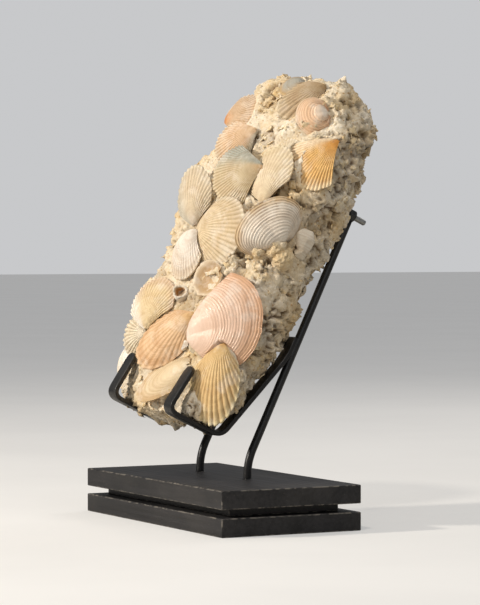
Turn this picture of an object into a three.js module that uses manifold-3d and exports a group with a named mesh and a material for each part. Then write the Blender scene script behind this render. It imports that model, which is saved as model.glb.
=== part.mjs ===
// A slab of fossil shell rock on its display stand, in millimetres with +Z up.
// The origin is the middle of the base's underside, and the front faces -Y.
import * as THREE from 'three';
import { mergeVertices } from 'three/addons/utils/BufferGeometryUtils.js';
import Module from 'manifold-3d';

const wasm = await Module();
wasm.setup();

// Driving dimensions of the base: two boards with a narrower one between them.
const base = { width: 300, depth: 150, board: 18, spacer: 8, inset: 16 };

// The stand's arms lean back, and the slab leans with them.
// In the leaning frame x runs across the slab, y runs up it and z stands out of its front.
const lean = THREE.MathUtils.degToRad(25.7);
const leanOrigin = new THREE.Vector3(0, 8.8, 74.1);

const gap = 0.3;
const rod = { radius: 4, footY: 7, bendStart: 48, bendEnd: 2, sides: 10, steps: 20 };
const bar = { width: 16, thickness: 4.5, overlap: 20, bend: 11, bendSteps: 6, tipSides: 20 };
const nut = { acrossFlats: 11, length: 8, bore: 3.4 };
const stud = { radius: 3, sides: 12, backEnd: -22 };
const studHeight = 255;

// Each side of the stand: where its rod stands, the bends of its hook and the reach of its stud.
// A hook's bends are given as height up the slab and distance out of the rods' front.
const sides = [
  { name: 'left', across: -56, studReach: 22,
    hook: { tip: [41, 108], front: [1, 113.5], heel: [1, 38], weld: 118 } },
  { name: 'right', across: 46, studReach: 8,
    hook: { tip: [38, 92.5], front: [-3, 99.5], heel: [-3, 36.5], weld: 118 } },
];

// The rock's cross-section at its thickest, as (across, out), and how its box changes up the slab.
const rockSection = [
  [58, 8], [74, 26], [78, 48], [72, 68], [40, 86], [0, 97], [-50, 105],
  [-95, 106], [-114, 92], [-112, 66], [-92, 40], [-50, 18], [0, 6],
];
const sectionBox = { left: -114, right: 78, back: 4, front: 106 };
const rockLevels = [
  { up: 0, left: -70, right: 58, back: 44, front: 92 },
  { up: 15, left: -88, right: 64, back: 36, front: 97 },
  { up: 40, left: -98, right: 66, back: 24, front: 102 },
  { up: 75, left: -106, right: 64, back: 8, front: 106 },
  { up: 120, left: -110, right: 60, back: 4, front: 108 },
  { up: 165, left: -94, right: 62, back: 4, front: 108 },
  { up: 195, left: -104, right: 68, back: 4, front: 108 },
  { up: 230, left: -112, right: 72, back: 4, front: 107 },
  { up: 258, left: -108, right: 76, back: 4, front: 106 },
  { up: 285, left: -90, right: 78, back: 4, front: 104 },
  { up: 316, left: -86, right: 74, back: 4, front: 100 },
  { up: 338, left: -86, right: 64, back: 8, front: 98 },
  { up: 358, left: -72, right: 50, back: 16, front: 94 },
  { up: 372, left: -52, right: 34, back: 32, front: 80 },
];
const rockPoints = 26;
const ripple = { height: 2.6, around: [2.4, 1.3], up: [17, -29] };

// How each kind of valve is cut out of its growth cone: half angle of the fan and how far
// its outline's middle lies from the beak, as a share of its height.
const kinds = {
  scallop: { halfAngle: 52, middle: 0.5 },
  cockle: { halfAngle: 118, middle: 0.46 },
};
const growthRings = [0.14, 0.5, 1];
const valveColumns = 8;
const valve = { edge: 2.2, fill: 0.2, shoulder: 0.35, clearance: 0.4, roomFill: 0.05, roomSpread: 4 };
const bed = { depth: 24, top: 0.86, foot: 0.5 };

// The valves from the uppermost to the deepest. at: the beak's place in the leaning frame; turn
// and nod: where the dome faces; spin: which way the fan opens; height: beak to lower margin;
// width: as a share of the height; swell: how strongly the dome is inflated; skew: how far the
// outline lies to one side; fan: its half angle where it isn't its kind's; proud: stands on
// a stump of rock above the slab's face.
const cream = 0xd8c5a4;
const white = 0xe8dfd2;
const peach = 0xdcb592;
const shells = [
  { name: 'scallop_foot', kind: 'scallop', at: [61, 80, 76], turn: 32, nod: -8, spin: 163,
    height: 82, width: 0.68, skew: 0.1, swell: 0.4, proud: true, color: 0xdcc28a },
  { name: 'clam_large', kind: 'cockle', at: [21, 73, 93], turn: 32, nod: -5, spin: 65,
    height: 82, width: 1.25, skew: -0.14, fan: 52, swell: 0.6, proud: true, color: 0xdfae8e },
  { name: 'cockle_ridged', kind: 'cockle', at: [61, 192, 62], turn: 66, nod: -14, spin: -58,
    height: 46, width: 1.6, swell: 0.9, proud: true, color: white },
  { name: 'scallop_pair_left', kind: 'scallop', at: [-20, 183, 111], turn: 4, nod: -8, spin: -158,
    height: 54, width: 1.05, fan: 58, swell: 0.5, proud: true, color: white },
  { name: 'scallop_pair_right', kind: 'scallop', at: [-28, 184, 110], turn: 14, nod: -8, spin: 88,
    height: 71, width: 1.05, fan: 60, swell: 0.3, proud: true, color: cream },
  { name: 'scallop_leaf', kind: 'scallop', at: [-40, 189, 106], turn: 15, nod: -15, spin: -21,
    height: 65, width: 0.78, swell: 0.35, proud: true, color: 0xd9ccb2 },
  { name: 'scallop_tip', kind: 'scallop', at: [-73, 307, 108], turn: 26, nod: 0, spin: 67,
    height: 52, width: 0.95, swell: 0.4, color: 0xe0bd8c },
  { name: 'scallop_grey', kind: 'scallop', at: [25, 261, 93], turn: 26, nod: 0, spin: -118,
    height: 60, width: 1.1, swell: 0.35, proud: true, color: 0xcfc2a8 },
  { name: 'scallop_peach', kind: 'scallop', at: [-10, 300, 99], turn: 26, nod: 0, spin: -135,
    height: 52, width: 1, swell: 0.3, proud: true, color: peach },
  { name: 'scallop_upright', kind: 'scallop', at: [46, 222, 86], turn: 12, nod: 0, spin: -18,
    height: 66, width: 0.9, swell: 0.35, proud: true, color: cream },
  { name: 'scallop_orange', kind: 'scallop', at: [81, 307, 56], turn: 34, nod: 0, spin: -151,
    height: 60, width: 1.1, fan: 42, swell: 0.35, proud: true, color: 0xd9a95c },
  { name: 'cockle_crown', kind: 'cockle', at: [58, 331, 69], turn: 52, nod: 0, spin: -124,
    height: 32, width: 1.25, swell: 0.75, proud: true, color: peach },
  { name: 'scallop_crown', kind: 'scallop', at: [35, 362, 70], turn: 34, nod: 10, spin: -143,
    height: 56, width: 0.72, swell: 0.3, color: 0xb9a684 },
  { name: 'valve_crown', kind: 'cockle', at: [6, 361, 81], turn: 24, nod: 25, spin: -132,
    height: 26, width: 1.2, swell: 0.5, color: 0xb8b0a0 },
  { name: 'scallop_behind', kind: 'scallop', at: [51, 260, 85], turn: 18, nod: 10, spin: -26,
    height: 39, width: 0.9, swell: 0.3, color: cream },
  { name: 'scallop_long', kind: 'scallop', at: [13, 101, 93], turn: 28, nod: 0, spin: -147,
    height: 78, width: 0.64, swell: 0.35, proud: true, color: 0xd6b086 },
  { name: 'scallop_shoulder', kind: 'scallop', at: [-46, 73, 108], turn: 15, nod: 0, spin: -16,
    height: 59, width: 1, swell: 0.35, proud: true, color: 0xdec49c },
  { name: 'scallop_small', kind: 'scallop', at: [-48, 72, 105], turn: 10, nod: -12, spin: -102,
    height: 40, width: 1, swell: 0.4, proud: true, color: cream },
  { name: 'cockle_side', kind: 'cockle', at: [-64, 54, 96], turn: 6, nod: -6, spin: -125,
    height: 40, width: 1.1, swell: 0.6, proud: true, color: white },
  { name: 'valve_flat', kind: 'cockle', at: [30, 50, 87], turn: 22, nod: 0, spin: -134,
    height: 67, width: 0.5, swell: 0.15, proud: true, color: 0xdcc3a0 },
  { name: 'scallop_side_upper', kind: 'scallop', at: [-108, 262, 66], turn: -80, nod: 0, spin: 165,
    height: 46, width: 1, swell: 0.35, color: cream },
  { name: 'scallop_side_lower', kind: 'scallop', at: [-106, 74, 62], turn: -84, nod: 0, spin: 20,
    height: 48, width: 0.95, swell: 0.35, color: peach },
  { name: 'cockle_side_back', kind: 'cockle', at: [-88, 196, 32], turn: -130, nod: 0, spin: 70,
    height: 34, width: 1.15, swell: 0.65, color: white },
  { name: 'scallop_back', kind: 'scallop', at: [-4, 150, 5], turn: 178, nod: 0, spin: 25,
    height: 58, width: 1, swell: 0.3, color: cream },
  { name: 'clam_back', kind: 'cockle', at: [12, 292, 6], turn: 176, nod: 4, spin: -40,
    height: 44, width: 1.15, swell: 0.5, color: peach },
  { name: 'scallop_back_low', kind: 'scallop', at: [4, 66, 14], turn: -170, nod: -14, spin: -150,
    height: 42, width: 0.95, swell: 0.35, color: cream },
];

const rockStone = new THREE.MeshStandardMaterial({ color: 0xcdb994, roughness: 0.95 });
const blackWood = new THREE.MeshStandardMaterial({ color: 0x1b1b1d, roughness: 0.55 });
const blackSteel = new THREE.MeshStandardMaterial({ color: 0x141416, roughness: 0.4, metalness: 0.6 });
const plainSteel = new THREE.MeshStandardMaterial({ color: 0x8d8d8c, roughness: 0.35, metalness: 1 });

// Solids: a closed geometry to a solid for cutting and back again.
function toSolid(geometry) {
  const bare = geometry.clone();
  bare.deleteAttribute('normal');
  bare.deleteAttribute('uv');
  const merged = mergeVertices(bare, 1e-4);
  return new wasm.Manifold(new wasm.Mesh({
    numProp: 3,
    vertProperties: new Float32Array(merged.attributes.position.array),
    triVerts: new Uint32Array(merged.index.array),
  }));
}

function toGeometry(solid) {
  const mesh = solid.getMesh();
  const geometry = new THREE.BufferGeometry();
  geometry.setAttribute('position', new THREE.BufferAttribute(new Float32Array(mesh.vertProperties), 3));
  geometry.setIndex(new THREE.BufferAttribute(new Uint32Array(mesh.triVerts), 1));
  return geometry;
}

function largestBody(solid) {
  return solid.decompose().sort((a, b) => b.volume() - a.volume())[0];
}

function fromPoints(points, triangles) {
  const geometry = new THREE.BufferGeometry().setFromPoints(points);
  geometry.setIndex(triangles);
  return geometry;
}

function node(name, geometry, material) {
  const mesh = new THREE.Mesh(geometry, material);
  mesh.name = name;
  return mesh;
}

// Base: the upper board has a socket for each rod's foot.
function boardBetween(name, width, depth, low, high) {
  const board = node(name, new THREE.BoxGeometry(width, depth, high - low), blackWood);
  board.position.z = (low + high) / 2;
  return board;
}

function upperBoard() {
  const outline = new THREE.Shape();
  outline.moveTo(-base.width / 2, -base.depth / 2);
  outline.lineTo(base.width / 2, -base.depth / 2);
  outline.lineTo(base.width / 2, base.depth / 2);
  outline.lineTo(-base.width / 2, base.depth / 2);
  outline.closePath();
  for (const side of sides) {
    const socket = new THREE.Path();
    socket.absarc(side.across, rod.footY, rod.radius + gap, 0, 2 * Math.PI, true);
    outline.holes.push(socket);
  }
  const board = new THREE.ExtrudeGeometry(outline, {
    depth: base.board, bevelEnabled: false, curveSegments: rod.sides / 2,
  });
  const mesh = node('base_upper_board', board, blackWood);
  mesh.position.z = base.board + base.spacer;
  return mesh;
}

// Rods: upright in the base, then bent back to the slab's lean.
function fromLeaning(across, up, out) {
  return new THREE.Vector3(across, up, out)
    .applyAxisAngle(new THREE.Vector3(1, 0, 0), Math.PI / 2 - lean)
    .add(leanOrigin);
}

function rodAlong(side) {
  const foot = new THREE.Vector3(side.across, rod.footY, base.board + base.spacer + gap);
  const bendStart = new THREE.Vector3(side.across, rod.footY, rod.bendStart);
  const bendEnd = fromLeaning(side.across, rod.bendEnd, -rod.radius);
  const top = fromLeaning(side.across, studHeight - nut.acrossFlats / 2 - gap, -rod.radius);
  const rise = (bendEnd.y - rod.footY) / Math.tan(lean);
  const corner = new THREE.Vector3(side.across, rod.footY, bendEnd.z - rise);
  const path = new THREE.CurvePath();
  path.add(new THREE.LineCurve3(foot, bendStart));
  path.add(new THREE.QuadraticBezierCurve3(bendStart, corner, bendEnd));
  path.add(new THREE.LineCurve3(bendEnd, top));
  const round = new THREE.Shape().absarc(0, 0, rod.radius, 0, 2 * Math.PI, false);
  const tube = new THREE.ExtrudeGeometry(round, {
    extrudePath: path, steps: rod.steps, curveSegments: rod.sides / 2, bevelEnabled: false,
  });
  return node(`rod_${side.name}`, tube, blackSteel);
}

// Hooks: a flat bar with a rounded tip, bent under the slab and up its back to the rod.
function hookCentreLine(hook) {
  const rodFace = bar.thickness / 2 + gap;
  const bends = [hook.tip, hook.front, hook.heel, [hook.weld - bar.overlap, rodFace], [hook.weld, rodFace]];
  const points = bends.map(([up, out]) => new THREE.Vector2(up, out));
  const towards = (from, to) => to.clone().sub(from).setLength(bar.bend).add(from);
  const line = new THREE.Path().moveTo(points[0].x, points[0].y);
  for (let i = 1; i < points.length - 1; i += 1) {
    const before = towards(points[i], points[i - 1]);
    const after = towards(points[i], points[i + 1]);
    line.lineTo(before.x, before.y);
    line.quadraticCurveTo(points[i].x, points[i].y, after.x, after.y);
  }
  line.lineTo(hook.weld, rodFace);
  return line.getPoints(bar.bendSteps);
}

function stripOutline(points, thickness) {
  const offset = (shift) => points.map((point, i) => {
    const before = points[Math.max(i - 1, 0)];
    const after = points[Math.min(i + 1, points.length - 1)];
    const along = after.clone().sub(before).normalize();
    return new THREE.Vector2(point.x - along.y * shift, point.y + along.x * shift);
  });
  return new THREE.Shape([...offset(-thickness / 2), ...offset(thickness / 2).reverse()]);
}

// The bar's side profile lies in the (up, out) plane and is as wide as the bar across the slab.
const profileToSlab = new THREE.Matrix4().makeBasis(
  new THREE.Vector3(0, 1, 0), new THREE.Vector3(0, 0, 1), new THREE.Vector3(1, 0, 0),
);

function hookSolid(side, clearance) {
  const points = hookCentreLine(side.hook);
  const thickness = bar.thickness + 2 * clearance;
  const width = bar.width + 2 * clearance;
  const strip = new THREE.ExtrudeGeometry(stripOutline(points, thickness), {
    depth: width, bevelEnabled: false,
  });
  strip.translate(0, 0, side.across - width / 2);
  const along = points[0].clone().sub(points[1]);
  const tip = new THREE.CylinderGeometry(width / 2, width / 2, thickness, bar.tipSides);
  tip.rotateZ(Math.atan2(along.y, along.x));
  tip.translate(points[0].x, points[0].y, side.across);
  strip.applyMatrix4(profileToSlab);
  tip.applyMatrix4(profileToSlab);
  return toSolid(strip).add(toSolid(tip));
}

// Top of each rod: a nut on the rod's end, with a threaded stud that steadies the slab.
function nutOn(side) {
  const corner = nut.acrossFlats / Math.sqrt(3);
  const hexagon = new THREE.Shape();
  for (let i = 0; i < 6; i += 1) {
    const angle = (i * Math.PI) / 3;
    hexagon[i === 0 ? 'moveTo' : 'lineTo'](corner * Math.cos(angle), corner * Math.sin(angle));
  }
  hexagon.closePath();
  hexagon.holes.push(new THREE.Path().absarc(0, 0, nut.bore, 0, 2 * Math.PI, true));
  const body = new THREE.ExtrudeGeometry(hexagon, {
    depth: nut.length, bevelEnabled: false, curveSegments: stud.sides / 2,
  });
  const mesh = node(`nut_${side.name}`, body, blackSteel);
  mesh.position.set(side.across, studHeight, -rod.radius - nut.length / 2);
  return mesh;
}

function studGeometry(side, clearance) {
  const length = side.studReach - stud.backEnd + clearance;
  const radius = stud.radius + clearance;
  const pin = new THREE.CylinderGeometry(radius, radius, length, stud.sides);
  pin.rotateX(Math.PI / 2);
  pin.translate(side.across, studHeight, stud.backEnd + length / 2);
  return pin;
}

// Rock: cross-sections stacked up the slab and closed at both ends, gently uneven.
function rockSectionAt(level) {
  const points = rockSection.map(([across, out]) => new THREE.Vector3(
    THREE.MathUtils.mapLinear(across, sectionBox.left, sectionBox.right, level.left, level.right),
    level.up,
    THREE.MathUtils.mapLinear(out, sectionBox.back, sectionBox.front, level.back, level.front),
  ));
  const ring = new THREE.CatmullRomCurve3(points, true).getPoints(rockPoints).slice(0, rockPoints);
  return ring.map((point, i) => {
    const swing = Math.sin(ripple.around[0] * i + level.up / ripple.up[0]);
    const height = ripple.height * swing * Math.cos(ripple.around[1] * i + level.up / ripple.up[1]);
    return point.add(new THREE.Vector3(height, height / 2, height));
  });
}

function rockBlank() {
  const rings = rockLevels.map(rockSectionAt);
  const points = rings.flat();
  const triangles = [];
  for (let level = 0; level < rings.length - 1; level += 1) {
    for (let i = 0; i < rockPoints; i += 1) {
      const a = level * rockPoints + i;
      const b = level * rockPoints + ((i + 1) % rockPoints);
      triangles.push(a, a + rockPoints, b, b, a + rockPoints, b + rockPoints);
    }
  }
  for (const [level, turned] of [[0, false], [rings.length - 1, true]]) {
    const middle = new THREE.Vector3();
    rings[level].forEach((point) => middle.addScaledVector(point, 1 / rockPoints));
    points.push(middle);
    for (let i = 0; i < rockPoints; i += 1) {
      const a = level * rockPoints + i;
      const b = level * rockPoints + ((i + 1) % rockPoints);
      triangles.push(points.length - 1, ...(turned ? [b, a] : [a, b]));
    }
  }
  return fromPoints(points, triangles);
}

// Valves: the lower margin is an ellipse seen from the beak. Each growth ring is that margin made
// smaller and turned about the hinge, which gives the dome and the beak that curls over it.
function marginAt(shell, angle) {
  const middle = kinds[shell.kind].middle * shell.height;
  const high = shell.height - middle;
  const wide = (shell.height * shell.width) / 2;
  const side = shell.height * (shell.skew ?? 0);
  const a = (Math.sin(angle) / wide) ** 2 + (Math.cos(angle) / high) ** 2;
  const b = -2 * ((side * Math.sin(angle)) / wide ** 2 + (middle * Math.cos(angle)) / high ** 2);
  const c = (side / wide) ** 2 + (middle / high) ** 2 - 1;
  const radius = (-b + Math.sqrt(Math.max(b * b - 4 * a * c, 0))) / (2 * a);
  return new THREE.Vector2(radius * Math.sin(angle), radius * Math.cos(angle));
}

function valvePlacement(shell) {
  const turned = new THREE.Matrix4().makeRotationFromEuler(new THREE.Euler(
    THREE.MathUtils.degToRad(-shell.nod), THREE.MathUtils.degToRad(shell.turn),
    THREE.MathUtils.degToRad(-shell.spin), 'YXZ',
  ));
  return turned.setPosition(...shell.at);
}

function marginColumns(shell) {
  const halfAngle = THREE.MathUtils.degToRad(shell.fan ?? kinds[shell.kind].halfAngle);
  return Array.from({ length: valveColumns }, (_, i) => (
    marginAt(shell, THREE.MathUtils.mapLinear(i, 0, valveColumns - 1, -halfAngle, halfAngle))
  ));
}

function valveSurface(shell, clearance, fill, lift) {
  const middle = kinds[shell.kind].middle * shell.height;
  const spread = 1 + (valve.roomSpread * clearance) / shell.height;
  const points = [new THREE.Vector3(0, middle - middle * spread, lift)];
  for (const ring of growthRings) {
    const tilt = shell.swell * Math.log(1 / ring);
    for (const margin of marginColumns(shell)) {
      const dome = ring * (margin.y + valve.shoulder * Math.abs(margin.x)) * Math.sin(tilt);
      points.push(new THREE.Vector3(
        ring * margin.x * spread,
        (ring * margin.y * Math.cos(tilt) - middle) * spread + middle,
        Math.max(dome, 0) * fill + lift,
      ));
    }
  }
  return points;
}

function valveGeometry(shell, clearance) {
  const lift = valve.edge / 2 + clearance;
  const outside = valveSurface(shell, clearance, 1, lift);
  const inside = valveSurface(shell, clearance, clearance > 0 ? valve.roomFill : valve.fill, -lift);
  const count = outside.length;
  const triangles = [];
  const face = (a, b, c) => triangles.push(a, b, c, count + a, count + c, count + b);
  const wall = (a, b) => triangles.push(a, b, count + b, a, count + b, count + a);
  const at = (row, i) => (row === 0 ? 0 : 1 + (row - 1) * valveColumns + i);
  const last = valveColumns - 1;
  for (let i = 0; i < last; i += 1) {
    face(0, at(1, i + 1), at(1, i));
    wall(at(growthRings.length, i), at(growthRings.length, i + 1));
  }
  for (let row = 1; row < growthRings.length; row += 1) {
    for (let i = 0; i < last; i += 1) {
      face(at(row, i), at(row, i + 1), at(row + 1, i + 1));
      face(at(row, i), at(row + 1, i + 1), at(row + 1, i));
    }
  }
  for (let row = 0; row < growthRings.length; row += 1) {
    wall(at(row, 0), at(row + 1, 0));
    wall(at(row + 1, last), at(row, last));
  }
  return fromPoints([...outside, ...inside], triangles).applyMatrix4(valvePlacement(shell));
}

// The rock under a valve: a stump that carries the whole shell and narrows into the slab.
function bedGeometry(shell) {
  const beak = new THREE.Vector2(0, 0);
  const outline = [...marginColumns(shell), beak];
  const middle = new THREE.Vector2(0, kinds[shell.kind].middle * shell.height);
  const ring = (share, z) => outline.map((point) => {
    const moved = point.clone().sub(middle).multiplyScalar(share).add(middle);
    return new THREE.Vector3(moved.x, moved.y, z);
  });
  const points = [...ring(bed.top, 0), ...ring(bed.foot, -bed.depth)];
  const count = outline.length;
  points.push(new THREE.Vector3(middle.x, middle.y, 0));
  points.push(new THREE.Vector3(middle.x, middle.y, -bed.depth));
  const triangles = [];
  for (let i = 0; i < count; i += 1) {
    const next = (i + 1) % count;
    triangles.push(i, next, i + count, next, next + count, i + count);
    triangles.push(2 * count, next, i, 2 * count + 1, i + count, next + count);
  }
  return fromPoints(points, triangles).applyMatrix4(valvePlacement(shell));
}

// Assembly: the uppermost valve is whole, and each deeper one gives way to those above it.
// What is left of the rock is cut back to leave room for the valves, the hooks and the studs.
const slab = new THREE.Group();
slab.position.copy(leanOrigin);
slab.rotation.x = Math.PI / 2 - lean;

const hookRoom = sides.map((side) => hookSolid(side, gap));
const studRoom = sides.map((side) => toSolid(studGeometry(side, gap)));
const valveRoom = [];
let rock = toSolid(rockBlank());
for (const shell of shells) {
  let body = toSolid(valveGeometry(shell, 0));
  for (const room of [...valveRoom, ...hookRoom]) body = body.subtract(room);
  valveRoom.push(toSolid(valveGeometry(shell, valve.clearance)));
  if (shell.proud) rock = rock.add(toSolid(bedGeometry(shell)));
  const material = new THREE.MeshStandardMaterial({ color: shell.color, roughness: 0.7 });
  slab.add(node(shell.name, toGeometry(largestBody(body)), material));
}
for (const room of [...valveRoom, ...hookRoom, ...studRoom]) rock = rock.subtract(room);
slab.add(node('matrix', toGeometry(largestBody(rock)), rockStone));

const part = new THREE.Group();
part.add(boardBetween('base_lower_board', base.width, base.depth, 0, base.board));
part.add(boardBetween(
  'base_spacer', base.width - 2 * base.inset, base.depth - 2 * base.inset,
  base.board, base.board + base.spacer,
));
part.add(upperBoard());
for (const side of sides) {
  part.add(rodAlong(side));
  slab.add(node(`hook_${side.name}`, toGeometry(hookSolid(side, 0)), blackSteel));
  slab.add(nutOn(side));
  slab.add(node(`stud_${side.name}`, studGeometry(side, 0), plainSteel));
}
part.add(slab);

export default part;
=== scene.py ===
import itertools
import math

import bmesh
import bpy
import numpy as np
from mathutils import Matrix, Vector, kdtree
from mathutils.bvhtree import BVHTree


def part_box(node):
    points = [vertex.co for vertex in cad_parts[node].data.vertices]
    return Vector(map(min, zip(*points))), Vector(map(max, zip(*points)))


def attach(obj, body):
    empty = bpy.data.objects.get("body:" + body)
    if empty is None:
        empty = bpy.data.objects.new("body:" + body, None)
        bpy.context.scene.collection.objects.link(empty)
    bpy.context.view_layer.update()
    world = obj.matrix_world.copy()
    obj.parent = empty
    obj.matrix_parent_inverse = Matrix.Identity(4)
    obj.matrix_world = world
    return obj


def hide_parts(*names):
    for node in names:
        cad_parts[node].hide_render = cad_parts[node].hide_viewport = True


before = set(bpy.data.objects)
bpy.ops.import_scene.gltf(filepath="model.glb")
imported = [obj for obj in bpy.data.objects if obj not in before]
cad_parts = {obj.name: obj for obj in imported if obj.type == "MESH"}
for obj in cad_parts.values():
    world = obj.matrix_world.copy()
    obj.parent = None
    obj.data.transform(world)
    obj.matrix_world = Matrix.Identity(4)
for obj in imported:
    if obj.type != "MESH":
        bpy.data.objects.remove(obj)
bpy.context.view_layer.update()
millimetre = 0.001  # shapes are worked out in millimetres and made in metres

# the slab and the stand's arms lean back: x across the slab, y up it, z out of its front
leaning = {"angle": 25.7, "origin": (0, 8.8, 74.1)}
leanTurn = np.array(Matrix.Rotation(math.radians(90 - leaning["angle"]), 3, "X"))
leanOrigin = np.array(leaning["origin"])


def fromLeaning(points):
    return np.asarray(points, float) @ leanTurn.T + leanOrigin


def toLeaning(points):
    return (np.asarray(points, float) - leanOrigin) @ leanTurn


def tint(code):
    parts = [int(code[i:i + 2], 16) / 255 for i in (0, 2, 4)]
    linear = [p / 12.92 if p < 0.04045 else ((p + 0.055) / 1.055) ** 2.4 for p in parts]
    return (*linear, 1.0)


# noise over points, the same each run

def hashed(cells, seed):
    mixed = (cells[..., 0] * 73856093) ^ (cells[..., 1] * 19349663) ^ (cells[..., 2] * 83492791)
    mixed = (mixed ^ (seed * 40503 + 977)) & 0x7FFFFFFF
    mixed = ((mixed ^ (mixed >> 13)) * 1274126177) & 0x7FFFFFFF
    mixed = ((mixed ^ (mixed >> 15)) * 668265263) & 0x7FFFFFFF
    return (mixed & 0xFFFFFF) / 0xFFFFFF


def softNoise(points, size, seed):
    scaled = np.asarray(points, float) / size
    corner = np.floor(scaled).astype(np.int64)
    part = scaled - corner
    part = part * part * (3 - 2 * part)
    total = np.zeros(scaled.shape[:-1])
    for step in itertools.product((0, 1), repeat=3):
        share = np.prod(np.where(step, part, 1 - part), axis=-1)
        total += share * hashed(corner + np.array(step), seed)
    return total * 2 - 1


def layeredNoise(points, size, seed, layers=3):
    return sum(softNoise(points, size / 2 ** i, seed + i) / 2 ** i for i in range(layers))


def lumpNoise(points, size, seed):
    # nearest and second nearest of jittered points, and a level for each lump
    scaled = np.asarray(points, float) / size
    corner = np.floor(scaled).astype(np.int64)
    near = np.full(len(scaled), 9.0)
    second = np.full(len(scaled), 9.0)
    level = np.zeros(len(scaled))
    for step in itertools.product((-1, 0, 1), repeat=3):
        cell = corner + np.array(step)
        jitter = np.stack([hashed(cell, seed + 31 * k) for k in range(3)], axis=-1)
        away = np.linalg.norm(cell + jitter - scaled, axis=-1)
        closer = away < near
        second = np.where(closer, near, np.minimum(second, away))
        level = np.where(closer, hashed(cell, seed + 101), level)
        near = np.where(closer, away, near)
    return near, second, level


def smoothStep(values, low, high):
    t = np.clip((values - low) / (high - low), 0, 1)
    return t * t * (3 - 2 * t)


# shader tools

def addNode(tree, kind, settings=None, sockets=None):
    node = tree.nodes.new("ShaderNode" + kind)
    for key, value in (settings or {}).items():
        setattr(node, key, value)
    for key, value in (sockets or {}).items():
        if isinstance(value, bpy.types.NodeSocket):
            tree.links.new(value, node.inputs[key])
        else:
            node.inputs[key].default_value = value
    return node


def mixColours(tree, factor, first, second, blend="MIX"):
    settings = {"data_type": "RGBA", "blend_type": blend, "clamp_factor": True}
    return addNode(tree, "Mix", settings, {0: factor, 6: first, 7: second}).outputs[2]


def maths(tree, operation, *values):
    return addNode(tree, "Math", {"operation": operation}, dict(enumerate(values))).outputs[0]


def ramped(tree, value, low, high, bottom=0.0, top=1.0):
    sockets = {"Value": value, "From Min": low, "From Max": high, "To Min": bottom, "To Max": top}
    return addNode(tree, "MapRange", {"interpolation_type": "SMOOTHSTEP"}, sockets).outputs[0]


def noiseField(tree, scale, detail=3.0, vector=None, roughness=0.55):
    place = vector or addNode(tree, "TexCoord").outputs["Object"]
    sockets = {"Vector": place, "Scale": scale, "Detail": detail, "Roughness": roughness}
    return addNode(tree, "TexNoise", None, sockets).outputs["Fac"]


def startGroup(name, inputs, outputs):
    group = bpy.data.node_groups.new(name, "ShaderNodeTree")
    kinds = {float: "NodeSocketFloat", tuple: "NodeSocketColor"}
    for label, value in inputs.items():
        socket = group.interface.new_socket(label, in_out="INPUT", socket_type=kinds[type(value)])
        socket.default_value = value
    for label, kind in outputs.items():
        group.interface.new_socket(label, in_out="OUTPUT", socket_type="NodeSocket" + kind)
    return group, group.nodes.new("NodeGroupInput").outputs, group.nodes.new("NodeGroupOutput").inputs


def placeGroup(tree, group, sockets):
    node = addNode(tree, "Group", {"node_tree": group}, sockets)
    return node.outputs


def growthCoordinates(tree):
    fan = addNode(tree, "UVMap", {"uv_map": "fan"}).outputs["UV"]
    parts = addNode(tree, "SeparateXYZ", None, {0: fan}).outputs
    return parts["X"], parts["Y"]


def makeGrowthColour():
    # colour from beak to margin, with growth bands and one differently coloured flank
    white = tint("f0e6d8")
    group, given, result = startGroup("growthColour", {
        "Tip": white, "Body": white, "Rim": white, "Flank": white,
        "Tip Reach": 0.3, "Rim Reach": 0.2, "Flank From": 2.0, "Flank To": 3.0,
        "Band Count": 9.0, "Band Strength": 0.2}, {"Color": "Color"})
    across, along = growthCoordinates(group)
    wander = maths(group, "MULTIPLY_ADD", noiseField(group, 70.0), 0.16, -0.08)
    grown = maths(group, "ADD", along, wander)
    colour = mixColours(group, ramped(group, grown, 0.0, given["Tip Reach"]), given["Tip"], given["Body"])
    rimStart = maths(group, "SUBTRACT", 1.0, given["Rim Reach"])
    colour = mixColours(group, ramped(group, grown, rimStart, 1.0), colour, given["Rim"])
    side = maths(group, "ADD", across, wander)
    flank = ramped(group, side, given["Flank From"], given["Flank To"])
    colour = mixColours(group, flank, colour, given["Flank"])
    stretched = addNode(group, "CombineXYZ", None, {
        "X": maths(group, "MULTIPLY", across, 1.2),
        "Y": maths(group, "MULTIPLY", along, given["Band Count"])}).outputs[0]
    bands = ramped(group, noiseField(group, 1.0, 3.0, stretched), 0.38, 0.62)
    darker = mixColours(group, 1.0, colour, tint("c9ab86"), "MULTIPLY")
    amount = maths(group, "MULTIPLY", bands, given["Band Strength"])
    group.links.new(mixColours(group, amount, colour, darker), result["Color"])
    return group


def makeGrooveStainAndShade():
    # stain that lies in the grooves between ribs and ridges, with painted shade in the grooves on top of it
    group, given, result = startGroup("grooveStainAndShade", {
        "Color": tint("e8d8bc"), "Stain And Shade": tint("a07a48"), "Amount": 0.5},
        {"Color": "Color", "Mask": "Float"})
    groove = addNode(group, "Attribute", {"attribute_name": "groove"}).outputs["Fac"]
    uneven = ramped(group, noiseField(group, 110.0), 0.3, 0.7, 0.45, 1.0)
    mask = maths(group, "MULTIPLY", maths(group, "MULTIPLY", groove, uneven), given["Amount"])
    group.links.new(mask, result["Mask"])
    group.links.new(mixColours(group, mask, given["Color"], given["Stain And Shade"]), result["Color"])
    return group


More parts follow.
